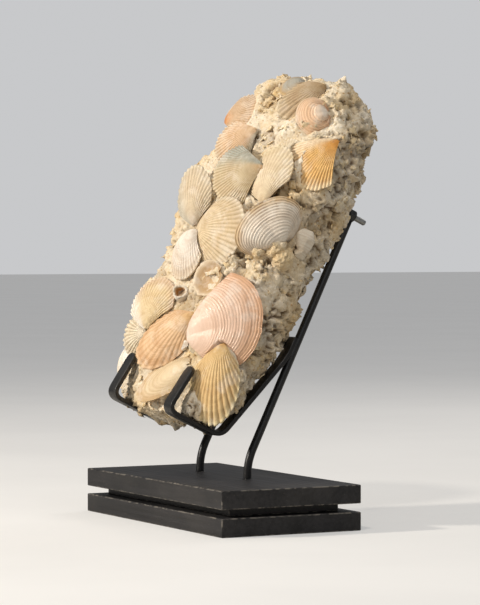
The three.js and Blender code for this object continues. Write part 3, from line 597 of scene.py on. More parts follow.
# at: the beak's place on the slab; face: turn, nod and spin in degrees; height: beak to margin;
# width: share of the height; swell: how far the dome is inflated. The uppermost valve comes first.
valves = [
    {"node": "scallop_foot", "slot": "shell_yellow", "kind": "scallop", "at": (61, 80, 76),
     "face": (32, -8, 163), "height": 82, "width": 0.68, "skew": 0.1, "swell": 0.4, "ribs": 21,
     "ribDepth": 0.9, "ribSpan": (-0.8, 0.95), "stops": ((0.55, 0.5), (0.74, 0.5), (0.88, 0.5)),
     "crimp": 0.03, "tip": "dfb878", "body": "e8c890", "rim": "e8d6a8", "flank": "f3ecdd",
     "flankSpan": (0.2, 0.08), "stainShade": "946a38", "stainShadeAmount": 0.75},
    {"node": "clam_large", "slot": "shell_peach", "kind": "cockle", "at": (21, 73, 93),
     "face": (32, -5, 65), "height": 82, "width": 1.25, "skew": -0.14, "fan": 52, "swell": 0.6,
     "ridges": 34, "ridgeDepth": 0.5, "ridgeStart": 0.46, "stops": ((0.72, 0.3), (0.87, 0.4)),
     "chips": 0.01, "tip": "f4dccb", "body": "efcdb4", "rim": "e3b792", "tipReach": 0.6,
     "rimReach": 0.3, "bands": 16.0, "bandStrength": 0.2, "stainShade": "b98560", "stainShadeAmount": 0.55,
     "chalk": "fbf3ea", "pitShare": 0.04, "lines": 90.0, "gloss": 0.3},
    {"node": "cockle_ridged", "slot": "shell_white", "kind": "cockle", "at": (61, 192, 62),
     "face": (66, -14, -58), "height": 46, "width": 1.6, "swell": 0.9, "ridges": 20, "ridgeDepth": 1.25,
     "ridgeStart": 0.3, "ridgeFade": 0.4, "tip": "efe7dc", "body": "e8dccb", "rim": "dcc096",
     "rimReach": 0.2, "bandStrength": 0.2, "stainShade": "6f5232", "stainShadeAmount": 1.0, "chalkAmount": 0.5,
     "pitShare": 0.12, "gloss": 0.5},
    {"node": "scallop_pair_left", "slot": "shell_white", "kind": "scallop", "at": (-20, 183, 111),
     "face": (4, -8, -158), "height": 54, "width": 1.05, "fan": 58, "swell": 0.5, "ribs": 20,
     "ribDepth": 0.75, "stops": ((0.6, 0.5), (0.84, 0.5)), "tip": "f1e8da", "body": "f2e9dd",
     "rim": "eadcc6", "stainShade": "a98f6c", "stainShadeAmount": 0.6, "cracks": 0.35},
    {"node": "scallop_pair_right", "slot": "shell_cream", "kind": "scallop", "at": (-28, 184, 110),
     "face": (14, -8, 88), "height": 71, "width": 1.05, "fan": 60, "swell": 0.3, "ribs": 25,
     "ribDepth": 0.75, "stops": ((0.78, 0.35),), "tip": "e4d0ac", "body": "dfcaa6", "rim": "e0d2b8",
     "stainShade": "8d7348", "stainShadeAmount": 0.75, "cracks": 0.15},
    {"node": "scallop_leaf", "slot": "shell_cream", "kind": "scallop", "at": (-40, 189, 106),
     "face": (15, -15, -21), "height": 65, "width": 0.78, "swell": 0.35, "ribs": 21, "ribDepth": 0.5,
     "crimp": 0.02, "tip": "ebdfd0", "body": "dac8aa", "rim": "dccfb6", "flank": "c9c3b2",
     "flankSpan": (0.55, 0.05), "stainShade": "8d7a56", "stainShadeAmount": 0.65},
    {"node": "scallop_tip", "slot": "shell_yellow", "kind": "scallop", "at": (-73, 307, 108),
     "face": (26, 0, 67), "height": 52, "width": 0.95, "swell": 0.4, "ribs": 22, "ribDepth": 0.7,
     "ribShape": 0.85, "tip": "e39a54", "body": "e4c9a8", "rim": "e0ccb2", "tipReach": 0.36,
     "stainShade": "96693c", "stainShadeAmount": 0.8},
    {"node": "scallop_grey", "slot": "shell_cream", "kind": "scallop", "at": (25, 261, 93),
     "face": (26, 0, -118), "height": 60, "width": 1.1, "swell": 0.35, "ribs": 28, "ribDepth": 0.6,
     "stops": ((0.7, 0.3),), "tip": "d9b98c", "body": "d6c3a0", "rim": "dccaa8", "flank": "aeb0a4",
     "flankSpan": (0.56, 0.84), "stainShade": "80683f", "stainShadeAmount": 0.75},
    {"node": "scallop_peach", "slot": "shell_peach", "kind": "scallop", "at": (-10, 300, 99),
     "face": (26, 0, -135), "height": 52, "width": 1.0, "swell": 0.3, "ribs": 22, "ribDepth": 0.6,
     "ribShape": 0.85, "tip": "ecd0ac", "body": "e4c6a2", "rim": "e2d0b4", "flank": "bcb49c",
     "flankSpan": (0.3, 0.05), "stainShade": "a9743f", "stainShadeAmount": 0.75},
    {"node": "scallop_upright", "slot": "shell_cream", "kind": "scallop", "at": (46, 222, 86),
     "face": (12, 0, -18), "height": 66, "width": 0.9, "swell": 0.35, "ribs": 19, "ribDepth": 0.65,
     "crimp": 0.03, "tip": "e2ceaa", "body": "e6d5b6", "rim": "e6d6b4", "stainShade": "99794a",
     "stainShadeAmount": 0.65},
    {"node": "scallop_orange", "slot": "shell_yellow", "kind": "scallop", "at": (81, 307, 56),
     "face": (34, 0, -151), "height": 60, "width": 1.1, "fan": 42, "swell": 0.35, "ribs": 20,
     "ribDepth": 0.6, "ribShape": 0.7, "tip": "e6a040", "body": "ebc07a", "rim": "f2deb6",
     "flank": "f1dfbe", "tipReach": 0.5, "flankSpan": (0.6, 0.95), "stainShade": "b3762a",
     "stainShadeAmount": 0.75, "chalkAmount": 0.2},
    {"node": "cockle_crown", "slot": "shell_peach", "kind": "cockle", "at": (58, 331, 69),
     "face": (52, 0, -124), "height": 32, "width": 1.25, "swell": 0.75, "ridges": 13, "ridgeDepth": 0.9,
     "ridgeStart": 0.5, "stops": ((0.46, 1.4),), "tip": "f1ebe0", "body": "eecaa6", "rim": "ecd0b0",
     "tipReach": 0.6, "stainShade": "b37c4c", "stainShadeAmount": 0.7},
    {"node": "scallop_crown", "slot": "shell_cream", "kind": "scallop", "at": (35, 362, 70),
     "face": (34, 10, -143), "height": 56, "width": 0.72, "swell": 0.3, "ribs": 17, "ribDepth": 0.8,
     "ribWander": 0.3, "tip": "b99c72", "body": "bfa683", "rim": "cdb896", "stainShade": "5f4f30",
     "stainShadeAmount": 0.75, "chalkAmount": 0.15},
    # valve_crown's tan flank is painted shade over one half of the valve
    {"node": "valve_crown", "slot": "shell_white", "kind": "cockle", "at": (6, 361, 81),
     "face": (24, 25, -132), "height": 26, "width": 1.2, "swell": 0.5, "ridges": 8, "ridgeDepth": 0.15,
     "tip": "aaa89c", "body": "b3b0a4", "rim": "c6a878", "flank": "c09c6a", "flankSpan": (0.5, 0.2),
     "chalkAmount": 0.15, "gloss": 0.42},
    {"node": "scallop_behind", "slot": "shell_cream", "kind": "scallop", "at": (51, 260, 85),
     "face": (18, 10, -26), "height": 39, "width": 0.9, "swell": 0.3, "ribs": 18, "ribDepth": 0.45},
    {"node": "scallop_long", "slot": "shell_peach", "kind": "scallop", "at": (13, 101, 93),
     "face": (28, 0, -147), "height": 78, "width": 0.64, "swell": 0.35, "ribs": 18, "ribDepth": 0.4,
     "tip": "e6bf82", "body": "e8c49a", "rim": "dfb98e", "bandStrength": 0.5, "stainShade": "a97a44",
     "stainShadeAmount": 0.65, "chalk": "f0ddc4", "chalkAmount": 0.5, "pitShare": 0.12},
    {"node": "scallop_shoulder", "slot": "shell_yellow", "kind": "scallop", "at": (-46, 73, 108),
     "face": (15, 0, -16), "height": 59, "width": 1.0, "swell": 0.35, "ribs": 22, "ribDepth": 0.65,
     "ribShape": 0.5, "crimp": 0.02, "tip": "e6d0a4", "body": "e6d0a6", "rim": "e0c8ac",
     "flank": "f4ede0", "flankSpan": (0.4, 0.1), "stainShade": "a37c3e", "stainShadeAmount": 0.75},
    {"node": "scallop_small", "slot": "shell_cream", "kind": "scallop", "at": (-48, 72, 105),
     "face": (10, -12, -102), "height": 40, "width": 1.0, "swell": 0.4, "ribs": 13, "ribDepth": 0.8,
     "crimp": 0.03, "body": "ecdfc4", "stainShade": "79633f", "stainShadeAmount": 0.75},
    {"node": "cockle_side", "slot": "shell_white", "kind": "cockle", "at": (-64, 54, 96),
     "face": (6, -6, -125), "height": 40, "width": 1.1, "swell": 0.6, "ridges": 16, "ridgeDepth": 0.3,
     "tip": "f4eee4", "body": "f3ede2", "rim": "ece2d0", "stainShade": "c9b598", "stainShadeAmount": 0.4},
    {"node": "valve_flat", "slot": "shell_peach", "kind": "cockle", "at": (30, 50, 87),
     "face": (22, 0, -134), "height": 67, "width": 0.5, "swell": 0.15, "ridges": 14, "ridgeDepth": 0.12,
     "chips": 0.08, "lumps": 1.2, "tip": "e2cea8", "body": "e2cca6", "rim": "d8b98c"},
    {"node": "scallop_side_upper", "slot": "shell_cream", "kind": "scallop", "at": (-108, 262, 66),
     "face": (-80, 0, 165), "height": 46, "width": 1.0, "swell": 0.35, "ribs": 18, "ribDepth": 0.6},
    {"node": "scallop_side_lower", "slot": "shell_peach", "kind": "scallop", "at": (-106, 74, 62),
     "face": (-84, 0, 20), "height": 48, "width": 0.95, "swell": 0.35, "ribs": 18, "ribDepth": 0.6,
     "body": "e8c8a0", "stainShade": "b5824e"},
    {"node": "cockle_side_back", "slot": "shell_white", "kind": "cockle", "at": (-88, 196, 32),
     "face": (-130, 0, 70), "height": 34, "width": 1.15, "swell": 0.65, "ridges": 15, "ridgeDepth": 0.6,
     "body": "f0e8dc"},
    {"node": "scallop_back", "slot": "shell_cream", "kind": "scallop", "at": (-4, 150, 5),
     "face": (178, 0, 25), "height": 58, "width": 1.0, "swell": 0.3, "ribs": 20, "ribDepth": 0.6,
     "chips": 0.05},
    {"node": "clam_back", "slot": "shell_peach", "kind": "cockle", "at": (12, 292, 6),
     "face": (176, 4, -40), "height": 44, "width": 1.15, "swell": 0.5, "ridges": 18, "ridgeDepth": 0.5,
     "chips": 0.04, "body": "e6bf9c"},
    {"node": "scallop_back_low", "slot": "shell_cream", "kind": "scallop", "at": (4, 66, 14),
     "face": (-170, -14, -150), "height": 42, "width": 0.95, "swell": 0.35, "ribs": 16,
     "ribDepth": 0.6},
]
underlap = {"search": 16.0, "sink": 1.0}  # how a deeper valve passes under the ones above it


def sinkUnder(points, placed):
    for above in placed:
        near = np.linalg.norm(points - above["middle"], axis=1) < above["radius"] + 4
        for i in np.nonzero(near)[0]:
            start = Vector(points[i]) + above["up"] * underlap["search"]
            hit = above["tree"].ray_cast(start, -above["up"], 2 * underlap["search"])[0]
            if hit is None:
                continue
            height = (Vector(points[i]) - hit).dot(above["up"])
            under = -valveBuild["thickness"] - underlap["sink"]
            if height > under:
                points[i] = hit + above["up"] * under
    return points


def makeValves():
    placed = []
    for seed, own in enumerate(valves):
        look = {**plainValve, **own}
        points, faces, grooves, fans, outerCount = valveMesh(look, seed)
        turned = valveTurn(look)
        points = points @ turned.T + np.array(look["at"], float)
        points = sinkUnder(points, placed)
        outer = points[:outerCount]
        placed.append({
            "tree": BVHTree.FromPolygons(outer.tolist(), [f for f in faces if max(f) < outerCount]),
            "up": Vector(turned[:, 2]), "middle": outer.mean(axis=0), "outer": outer,
            "radius": np.linalg.norm(outer - outer.mean(axis=0), axis=1).max()})
        material = shellMaterial(look["node"] + "Shell", look)
        makePiece(look["node"] + "_shell", fromLeaning(points), faces, material,
                  {"groove": grooves}, fans, look["node"])
    return placed


placedValves = makeValves()
print("valves made:", len(placedValves))

# rock: the cemented shell sand that carries the valves

# the darkest colour here is painted shade for the rock's hollows and pits
shellRock = {"voxel": 1.75, "lumps": (34.0, 14.0, 6.0), "lumpHeight": (7.5, 5.4, 1.8), "grain": 3.2,
             "grainHeight": 1.1, "shellClear": (0.6, 6.0), "smoothFront": 0.4, "seed": 41,
             "pale": "f2e9d9", "mud": "e4d6bd", "hollowShade": "674c2e", "grainScale": 520.0, "hollowShadeAmount": 0.85,
             "pitShare": 0.07, "bumpDepth": 0.0006}


def valveSearch():
    outers = np.concatenate([v["outer"] for v in placedValves])
    search = kdtree.KDTree(len(outers))
    for i, point in enumerate(outers):
        search.insert(point, i)
    search.balance()
    return search


def remeshed(node, voxel):
    stand = bpy.data.objects.new("rockBlank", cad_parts[node].data.copy())
    bpy.context.scene.collection.objects.link(stand)
    remesh = stand.modifiers.new("even", "REMESH")
    remesh.mode, remesh.voxel_size = "VOXEL", voxel * millimetre
    mesh = stand.evaluated_get(bpy.context.evaluated_depsgraph_get()).to_mesh()
    count = len(mesh.vertices)
    points, normals = np.zeros(count * 3), np.zeros(count * 3)
    mesh.vertices.foreach_get("co", points)
    mesh.vertex_normals.foreach_get("vector", normals)
    faces = [list(p.vertices) for p in mesh.polygons]
    bpy.data.objects.remove(stand)
    return points.reshape(-1, 3) / millimetre, normals.reshape(-1, 3), faces


def hollowness(points, normals, faces):
    quads = np.array([f if len(f) == 4 else f + f[-1:] for f in faces])
    total, count = np.zeros_like(points), np.zeros(len(points))
    for a, b in ((0, 1), (1, 2), (2, 3), (3, 0)):
        np.add.at(total, quads[:, a], points[quads[:, b]])
        np.add.at(total, quads[:, b], points[quads[:, a]])
        np.add.at(count, quads[:, a], 1)
        np.add.at(count, quads[:, b], 1)
    around = total / np.maximum(count, 1)[:, None]
    dip = np.einsum("ij,ij->i", around - points, normals)
    for _ in range(3):
        spread = np.zeros(len(points))
        for a, b in ((0, 1), (1, 2), (2, 3), (3, 0)):
            np.add.at(spread, quads[:, a], dip[quads[:, b]])
            np.add.at(spread, quads[:, b], dip[quads[:, a]])
        dip = 0.5 * dip + 0.5 * spread / np.maximum(count, 1)
    return dip


def makeRock(search):
    points, normals, faces = remeshed("matrix", shellRock["voxel"])
    local, facing = toLeaning(points), normals @ leanTurn
    away = np.array([search.find(p)[2] for p in local])
    free = smoothStep(away, *shellRock["shellClear"])
    outward = np.maximum(smoothStep(facing[:, 0], 0.1, 0.75), smoothStep(-facing[:, 2], 0.0, 0.6))
    rough = shellRock["smoothFront"] + (1 - shellRock["smoothFront"]) * outward
    seed = shellRock["seed"]
    relief = np.zeros(len(points))
    for size, height in zip(shellRock["lumps"], shellRock["lumpHeight"]):
        warp = local + 0.3 * size * np.stack(
            [layeredNoise(local, size * 0.8, seed + k) for k in range(3)], axis=-1)
        near, second, level = lumpNoise(warp * (1, 1.25, 1), size, seed)
        relief += height * ((level - 0.55) * 1.4 + 0.25 * np.clip(second - near, 0, 0.4)) * rough
        seed += 7
    relief += shellRock["grainHeight"] * layeredNoise(local, shellRock["grain"], seed + 3, 2)
    moved = local + facing * (relief * free)[:, None]
    # painted shade mask: strongest where the surface dips and where the lumps sink in
    dip = hollowness(moved, facing, faces)
    shadeInHollows = smoothStep(dip, 0.05, 0.5) + 0.35 * smoothStep(-relief * free, 0.6, 2.4)
    makePiece("shell_rock", fromLeaning(moved), faces, gritMaterial("shellRockGrit", shellRock),
              {"shadeInHollows": np.clip(shadeInHollows, 0, 1)}, None, "matrix")
    return moved, facing, faces, away


valveTree = valveSearch()
rockPoints, rockNormals, rockFaces, rockAway = makeRock(valveTree)
print("rock made:", len(rockFaces), "faces")

# loose-looking shell hash and grit cemented to the rock

shellHash = {"seed": 5, "flakes": 1150, "chunks": 700, "valves": 60, "flakeSize": (2.6, 9.0),
             "chunkSize": (0.8, 2.4), "valveSize": (7.0, 15.0)}
hashLook = {"pale": "f4ead6", "mud": "e0cda8", "hollowShade": "a98a5c", "grainScale": 500.0, "hollowShadeAmount": 0.5,
            "pitShare": 0.08, "bumpDepth": 0.0003}


def scatterPlaces(count, clear, seed, frontShare):
    random = np.random.default_rng(seed)
    quads = np.array([f[:3] for f in rockFaces])
    middle = rockPoints[quads].mean(axis=1)
    normal = rockNormals[quads].mean(axis=1)
    normal /= np.maximum(np.linalg.norm(normal, axis=1, keepdims=True), 1e-9)
    outward = np.maximum(smoothStep(normal[:, 0], 0.1, 0.7), smoothStep(-normal[:, 2], 0.0, 0.6))
    weight = (frontShare + (1 - frontShare) * outward) * (rockAway[quads[:, 0]] > clear)
    picked = random.choice(len(quads), size=count, replace=False, p=weight / weight.sum())
    return middle[picked], normal[picked], random


def basisAbout(normal, random, lean):
    up = normal + random.normal(0, lean, 3)
    up /= np.linalg.norm(up)
    side = np.cross(up, random.normal(0, 1, 3))
    side /= np.linalg.norm(side)
    return np.stack([side, np.cross(up, side), up], axis=1)


def flakeShape(random, size):
    across, along = np.meshgrid(np.linspace(-1, 1, 5), np.linspace(-1, 1, 4))
    outline = 1 + 0.3 * random.normal(0, 0.5, across.shape)
    x, y = across * size * 0.5 * outline, along * size * 0.38 * outline
    bow = random.uniform(0.08, 0.4) * (1 - across ** 2) * size * 0.5
    ripple = 0.12 * np.cos(across * random.uniform(3, 9)) * min(size / 4, 1)
    top = np.stack([x, y, bow + ripple], axis=-1).reshape(-1, 3)
    thick = random.uniform(0.5, 1.0)
    faces = gridFaces(4, 5) + gridFaces(4, 5, 20, True)
    rim = [0, 1, 2, 3, 4, 9, 14, 19, 18, 17, 16, 15, 10, 5]
    faces += [[rim[i], 20 + rim[i], 20 + rim[(i + 1) % 14], rim[(i + 1) % 14]] for i in range(14)]
    return np.concatenate([top, top - (0, 0, thick)]), faces


def ballMesh(subdivisions):
    ball = bmesh.new()
    bmesh.ops.create_icosphere(ball, subdivisions=subdivisions, radius=1.0)
    points = np.array([v.co for v in ball.verts])
    faces = [[v.index for v in f.verts] for f in ball.faces]
    ball.free()
    return points, faces


def brokenChunk(random, size, ball, cuts):
    # a ball cut flat by planes all round, so that it looks broken
    points = ball * np.asarray(size)
    for _ in range(cuts):
        way = random.normal(0, 1, 3)
        way /= np.linalg.norm(way)
        reach = np.abs(points @ way).max() * random.uniform(0.42, 0.8)
        points = points - np.maximum(points @ way - reach, 0)[:, None] * way
    return points


def joined(parts):
    points, faces, start = [], [], 0
    for partPoints, partFaces in parts:
        points.append(partPoints)
        faces += [[start + i for i in f] for f in partFaces]
        start += len(partPoints)
    return np.concatenate(points), faces


def makeHash():
    seed = shellHash["seed"]
    flat = gritMaterial("shellHashGrit", hashLook)
    places, normals, random = scatterPlaces(shellHash["flakes"], 2.5, seed, 0.3)
    parts = []
    for place, normal in zip(places, normals):
        points, faces = flakeShape(random, random.uniform(*shellHash["flakeSize"]))
        parts.append((points @ basisAbout(normal, random, 0.55).T + place - normal * 0.3, faces))
    points, faces = joined(parts)
    makePiece("shell_flakes", fromLeaning(points), faces, flat,
              {"shadeInHollows": np.zeros(len(points))})
    places, normals, random = scatterPlaces(shellHash["chunks"], 1.2, seed + 1, 0.35)
    ball, ballFaces = ballMesh(2)
    parts = []
    for place, normal in zip(places, normals):
        size = random.uniform(*shellHash["chunkSize"]) * random.uniform(0.6, 1.3, 3)
        chunk = brokenChunk(random, size, ball, 5)
        parts.append((chunk @ basisAbout(normal, random, 0.4).T + place - normal * 0.2, ballFaces))
    points, faces = joined(parts)
    makePiece("shell_chunks", fromLeaning(points), faces, flat,
              {"shadeInHollows": np.zeros(len(points))}, smooth=False)


makeHash()
print("shell hash made")


def makeSmallValves():
    # young shells and broken ends that stick out of the rock
    places, normals, random = scatterPlaces(shellHash["valves"], 5.0, shellHash["seed"] + 2, 0.25)
    parts, grooves, fans = [], [], []
    for i, (place, normal) in enumerate(zip(places, normals)):
        kind = "cockle" if random.random() < 0.5 else "scallop"
        look = {**plainValve, "kind": kind, "height": random.uniform(*shellHash["valveSize"]),
                "width": 1.05, "swell": random.uniform(0.35, 0.8), "ribs": 11, "ribDepth": 0.35,
                "lumps": 0.2, "chips": 0.12}
        points, faces, groove, fan, _ = valveMesh(look, 60 + i, rows=11, columns=34, innerRows=3)
        points = (points - (0, look["height"] * 0.45, 0)) @ basisAbout(normal, random, 0.5).T
        parts.append((points + place - normal * 0.8, faces))
        grooves.append(groove)
        fans.append(fan)
    points, faces = joined(parts)
    makePiece("young_shells", fromLeaning(points), faces, shellMaterial("youngShells", plainValve),
              {"groove": np.concatenate(grooves)}, np.concatenate(fans))


makeSmallValves()

# single fragments that can be told apart on the slab; at: middle on the slab, size: half lengths
fragments = [
    {"name": "wedge_fragment", "at": (72, 206, 47), "size": (9, 17, 12), "cuts": 14,
     "seed": 3, "colour": "eae0ce", "tumbled": True},
    {"name": "wedge_lower", "at": (69, 190, 42), "size": (8, 13, 10), "cuts": 14,
     "seed": 8, "colour": "e2d5be", "tumbled": True},
    {"name": "white_shard", "at": (17, 65, 94), "size": (6, 7, 4), "cuts": 12,
     "seed": 4, "colour": "efe7da", "tumbled": False},
    {"name": "top_knob", "at": (36, 371, 57), "size": (6, 13, 6), "cuts": 10,
     "seed": 6, "colour": "e6dac2", "tumbled": False},
    {"name": "orange_pebble", "at": (26, 314, 87), "size": (2.4, 4, 2.4), "cuts": 3,
     "seed": 9, "colour": "d9a05c", "tumbled": True},
]
standingShells = [
    {"name": "standing_cockle", "at": (62, 150, 52), "face": (80, 0, 8),
     "height": 17, "width": 0.8, "swell": 0.7},
    {"name": "standing_chip", "at": (62, 155, 37), "face": (86, 0, -14),
     "height": 15, "width": 0.8, "swell": 0.6},
]
openValve = {"name": "open_valve", "kind": "cockle", "at": (27, 146, 95), "face": (24, 0, -128),
             "height": 35, "width": 1.15, "swell": 0.6, "ridges": 7, "ridgeDepth": 0.2, "chips": 0.06,
             "tip": "bd9a6c", "body": "c9a87c", "rim": "e4d2b4", "stainShade": "8d6c42"}
wormTube = {"name": "worm_tube", "at": (-19, 119, 105), "face": (34, 10),
            "outside": 8.0, "inside": 5.6, "length": 9.0, "seed": 12}
mudLumps = {"seed": 70, "places": [  # middle and half lengths of each
    ((62, 186, 66), (12, 12, 10)), ((66, 178, 56), (12, 11, 12)), ((52, 176, 78), (9, 6, 7)),
    ((-24, 150, 102), (12, 6, 5)), ((58, 72, 60), (9, 12, 9)), ((40, 56, 80), (9, 7, 6)),
    ((-2, 62, 96), (12, 5, 4)), ((38, 322, 76), (8, 10, 6)), ((12, 333, 86), (10, 8, 6)),
    ((-36, 338, 92), (12, 9, 6)), ((20, 296, 86), (10, 8, 6)), ((21, 90, 85), (9, 13, 9)),
    ((33, 110, 80), (9, 14, 9)), ((45, 128, 73), (9, 13, 9))]}


def makeFragments():
    ball, faces = ballMesh(4)
    for look in fragments:
        random = np.random.default_rng(look["seed"])
        points = brokenChunk(random, look["size"], ball, look["cuts"])
        points = points + 0.3 * ball * layeredNoise(points, 3.0, look["seed"])[:, None]
        if look["tumbled"]:
            points = points @ basisAbout(np.array((0.0, 0.0, 1.0)), random, 0.25).T
        own = {**plainValve, **dict.fromkeys(("tip", "body", "rim"), look["colour"]), "lines": 12.0}
        fans = np.column_stack([points[:, 0], points[:, 1]]) / 20 + 0.5
        material = shellMaterial(look["name"] + "Shell", own)
        makePiece(look["name"], fromLeaning(points + look["at"]), faces, material,
                  {"groove": np.zeros(len(points))}, fans)
    for i, own in enumerate(standingShells):
        look = {**plainValve, "kind": "cockle", "ridges": 9, "ridgeDepth": 0.4, "chips": 0.08, **own}
        points, faces, grooves, fans, _ = valveMesh(look, 90 + i, rows=40, columns=61)
        points = points @ valveTurn(look).T + np.array(look["at"], float)
        makePiece(look["name"], fromLeaning(points), faces, shellMaterial(look["name"] + "Shell", look),
                  {"groove": grooves}, fans)


def makeOpenValve():
    look = {**plainValve, **openValve}
    points, faces, grooves, fans, _ = valveMesh(look, 95)
    points = points * (1, 1, -1) @ valveTurn(look).T + np.array(look["at"], float)
    material = shellMaterial("openValveShell", look)
    makePiece(look["name"], fromLeaning(points), [f[::-1] for f in faces], material,
              {"groove": grooves}, fans)


def makeWormTube():
    turn, nod = (math.radians(a) for a in wormTube["face"])
    turned = np.array(Matrix.Rotation(turn, 3, "Y") @ Matrix.Rotation(-nod, 3, "X"))
    angle = np.linspace(0, 2 * np.pi, 72, endpoint=False)
    way = np.column_stack([np.cos(angle), np.sin(angle)])
    broken = 1.6 * layeredNoise(np.column_stack([way * 2, angle * 0]), 1.0, wormTube["seed"])
    rings = []
    for radius, height in (("outside", -1.0), ("outside", -0.4), ("outside", 0.0), ("inside", 0.0),
                           ("inside", -0.4), ("inside", -1.0)):
        wall = wormTube[radius] * (1 + 0.05 * np.sin(3 * angle))
        level = height * wormTube["length"] + (broken if height == 0.0 else 0 * broken)
        rings.append(np.column_stack([way * wall[:, None], level]))
    count = len(angle)
    faces = tubeFaces(len(rings), count)
    points = np.concatenate(rings)
    # the groove mask darkens the inside of the tube as painted shade
    inside = np.repeat([0, 0, 0.1, 0.3, 1, 1], count)
    look = {**plainValve, "tip": "f0e8da", "body": "efe2c8", "rim": "cf9a5c", "rimReach": 0.9}
    makePiece(wormTube["name"], fromLeaning(points @ turned.T + np.array(wormTube["at"], float)), faces,
              shellMaterial("wormTubeWall", look), {"groove": inside * 0.4},
              np.column_stack([np.tile(angle / 6.3, len(rings)), inside]))


def makeMudLumps():
    ball, faces = ballMesh(5)
    parts, seed = [], mudLumps["seed"]
    for i, (place, size) in enumerate(mudLumps["places"]):
        points = ball * np.array(size, float)
        level = lumpNoise(points + 50 * i, 5.0, seed + i)[2]
        swelling = (level - 0.6) * 2.2 + 1.3 * layeredNoise(points, 4.0, seed + i, 4)
        points = points + ball * swelling[:, None]
        parts.append((points + place, faces))
    points, faces = joined(parts)
    makePiece("mud_lumps", fromLeaning(points), faces, gritMaterial("mudLumpGrit", shellRock),
              {"shadeInHollows": np.zeros(len(points))})


makeFragments()
makeOpenValve()
makeWormTube()
makeMudLumps()
print("fragments made")

# stand: two boards with a narrower one between them

blackWoodLook = {"dark": "131315", "light": "2a292b", "worn": "7d776e", "wear": 0.75, "dust": 0.1}
boardBevel = {"width": 1.1, "segments": 3, "largestFacet": 0.0004}
blackWood = woodMaterial("blackStainedWood", blackWoodLook)


def makeBoard(node):
    low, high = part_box(node)
    board = bmesh.new()
    bmesh.ops.create_cube(board, size=1.0)
    for vertex in board.verts:
        vertex.co = [low[i] + (vertex.co[i] + 0.5) * (high[i] - low[i]) for i in range(3)]
    bmesh.ops.bevel(board, geom=board.edges[:], offset=boardBevel["width"] * millimetre,
                    segments=boardBevel["segments"], profile=0.5, affect="EDGES")
    mesh = bpy.data.meshes.new(node + "_wood")
    board.to_mesh(mesh)
    board.free()
    wear = mesh.attributes.new("edge", "FLOAT", "FACE")
    wear.data.foreach_set("value", [float(p.area <= boardBevel["largestFacet"]) for p in mesh.polygons])
    mesh.materials.append(blackWood)
    piece = bpy.data.objects.new(node + "_wood", mesh)
    bpy.context.scene.collection.objects.link(piece)
    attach(piece, "root")
    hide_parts(node)


for boardNode in ("base_lower_board", "base_spacer", "base_upper_board"):
    makeBoard(boardNode)
print("base made")

# stand: rods, hooks, nuts and studs

blackSteelLook = {"colour": "131314", "worn": "55524e", "wear": 0.4, "dust": 0.1, "filmScale": 260.0,
                  "roughness": (0.3, 0.46), "metallic": 0.0, "bumpDepth": 0.00006}
plainSteelLook = {"colour": "9a9a98", "worn": "bdbdbb", "wear": 0.3, "dust": 0.2, "filmScale": 500.0,
                  "roughness": (0.28, 0.45), "metallic": 1.0, "bumpDepth": 0.00004}
blackSteel = steelMaterial("satinBlackSteel", blackSteelLook)
plainSteel = steelMaterial("plainSteel", plainSteelLook)

stand = {"foot": 26.3, "footY": 7.0, "bendStart": 48.0, "bendEnd": 2.0, "studHeight": 255.0}
rodSize = {"radius": 4.0, "sides": 28, "topGap": 5.8}
hookBar = {"width": 16.0, "thickness": 4.5, "bend": 11.0, "corner": 0.9, "strap": [(98, 2.55), (118, 2.55)]}
weldBead = {"size": (1.5, 1.3, 1.2), "span": (99, 117), "count": 13, "aside": 3.6, "out": -0.6,
            "footRing": 4.3, "footBeads": 30, "footSize": (0.9, 0.9, 0.7), "footHeight": 44.0, "seed": 17}
nutSize = {"acrossFlats": 11.0, "low": -8.0, "high": 0.0, "bore": 3.4, "chamfer": 0.8}
studSize = {"radius": 3.0, "backEnd": -22.0, "pitch": 1.0, "depth": 0.32, "sides": 24}
standSides = [
    {"name": "left", "across": -56.0, "studReach": 22.0, "hook": [(41, 108), (1, 113.5), (1, 38)]},
    {"name": "right", "across": 46.0, "studReach": 8.0, "hook": [(38, 92.5), (-3, 99.5), (-3, 36.5)]},
]


def curveBetween(start, corner, end, steps):
    t = np.linspace(0, 1, steps)[:, None]
    start, corner, end = (np.asarray(p, float) for p in (start, corner, end))
    return (1 - t) ** 2 * start + 2 * t * (1 - t) * corner + t ** 2 * end


def evenLine(start, end, step):
    start, end = np.asarray(start, float), np.asarray(end, float)
    count = max(int(np.linalg.norm(end - start) / step), 2)
    return start + (end - start) * np.linspace(0, 1, count)[:, None]


def sweep(path, across, rings):
    # path runs in the plane at one place across the stand; rings are (across, normal) outlines
    path = np.asarray(path)
    way = np.gradient(path, axis=0)
    way /= np.linalg.norm(way, axis=1, keepdims=True)
    normal = np.stack([-way[:, 1], way[:, 0]], axis=1)
    points = []
    for place, out, ring in zip(path, normal, rings):
        lateral = across + ring[:, 0]
        points.append(np.column_stack([lateral, place + ring[:, 1:] * out]))
    return np.concatenate(points), closedTubeFaces(len(path), len(rings[0]))


def unique(path):
    keep = np.concatenate([[True], np.linalg.norm(np.diff(path, axis=0), axis=1) > 1e-4])
    return path[keep]


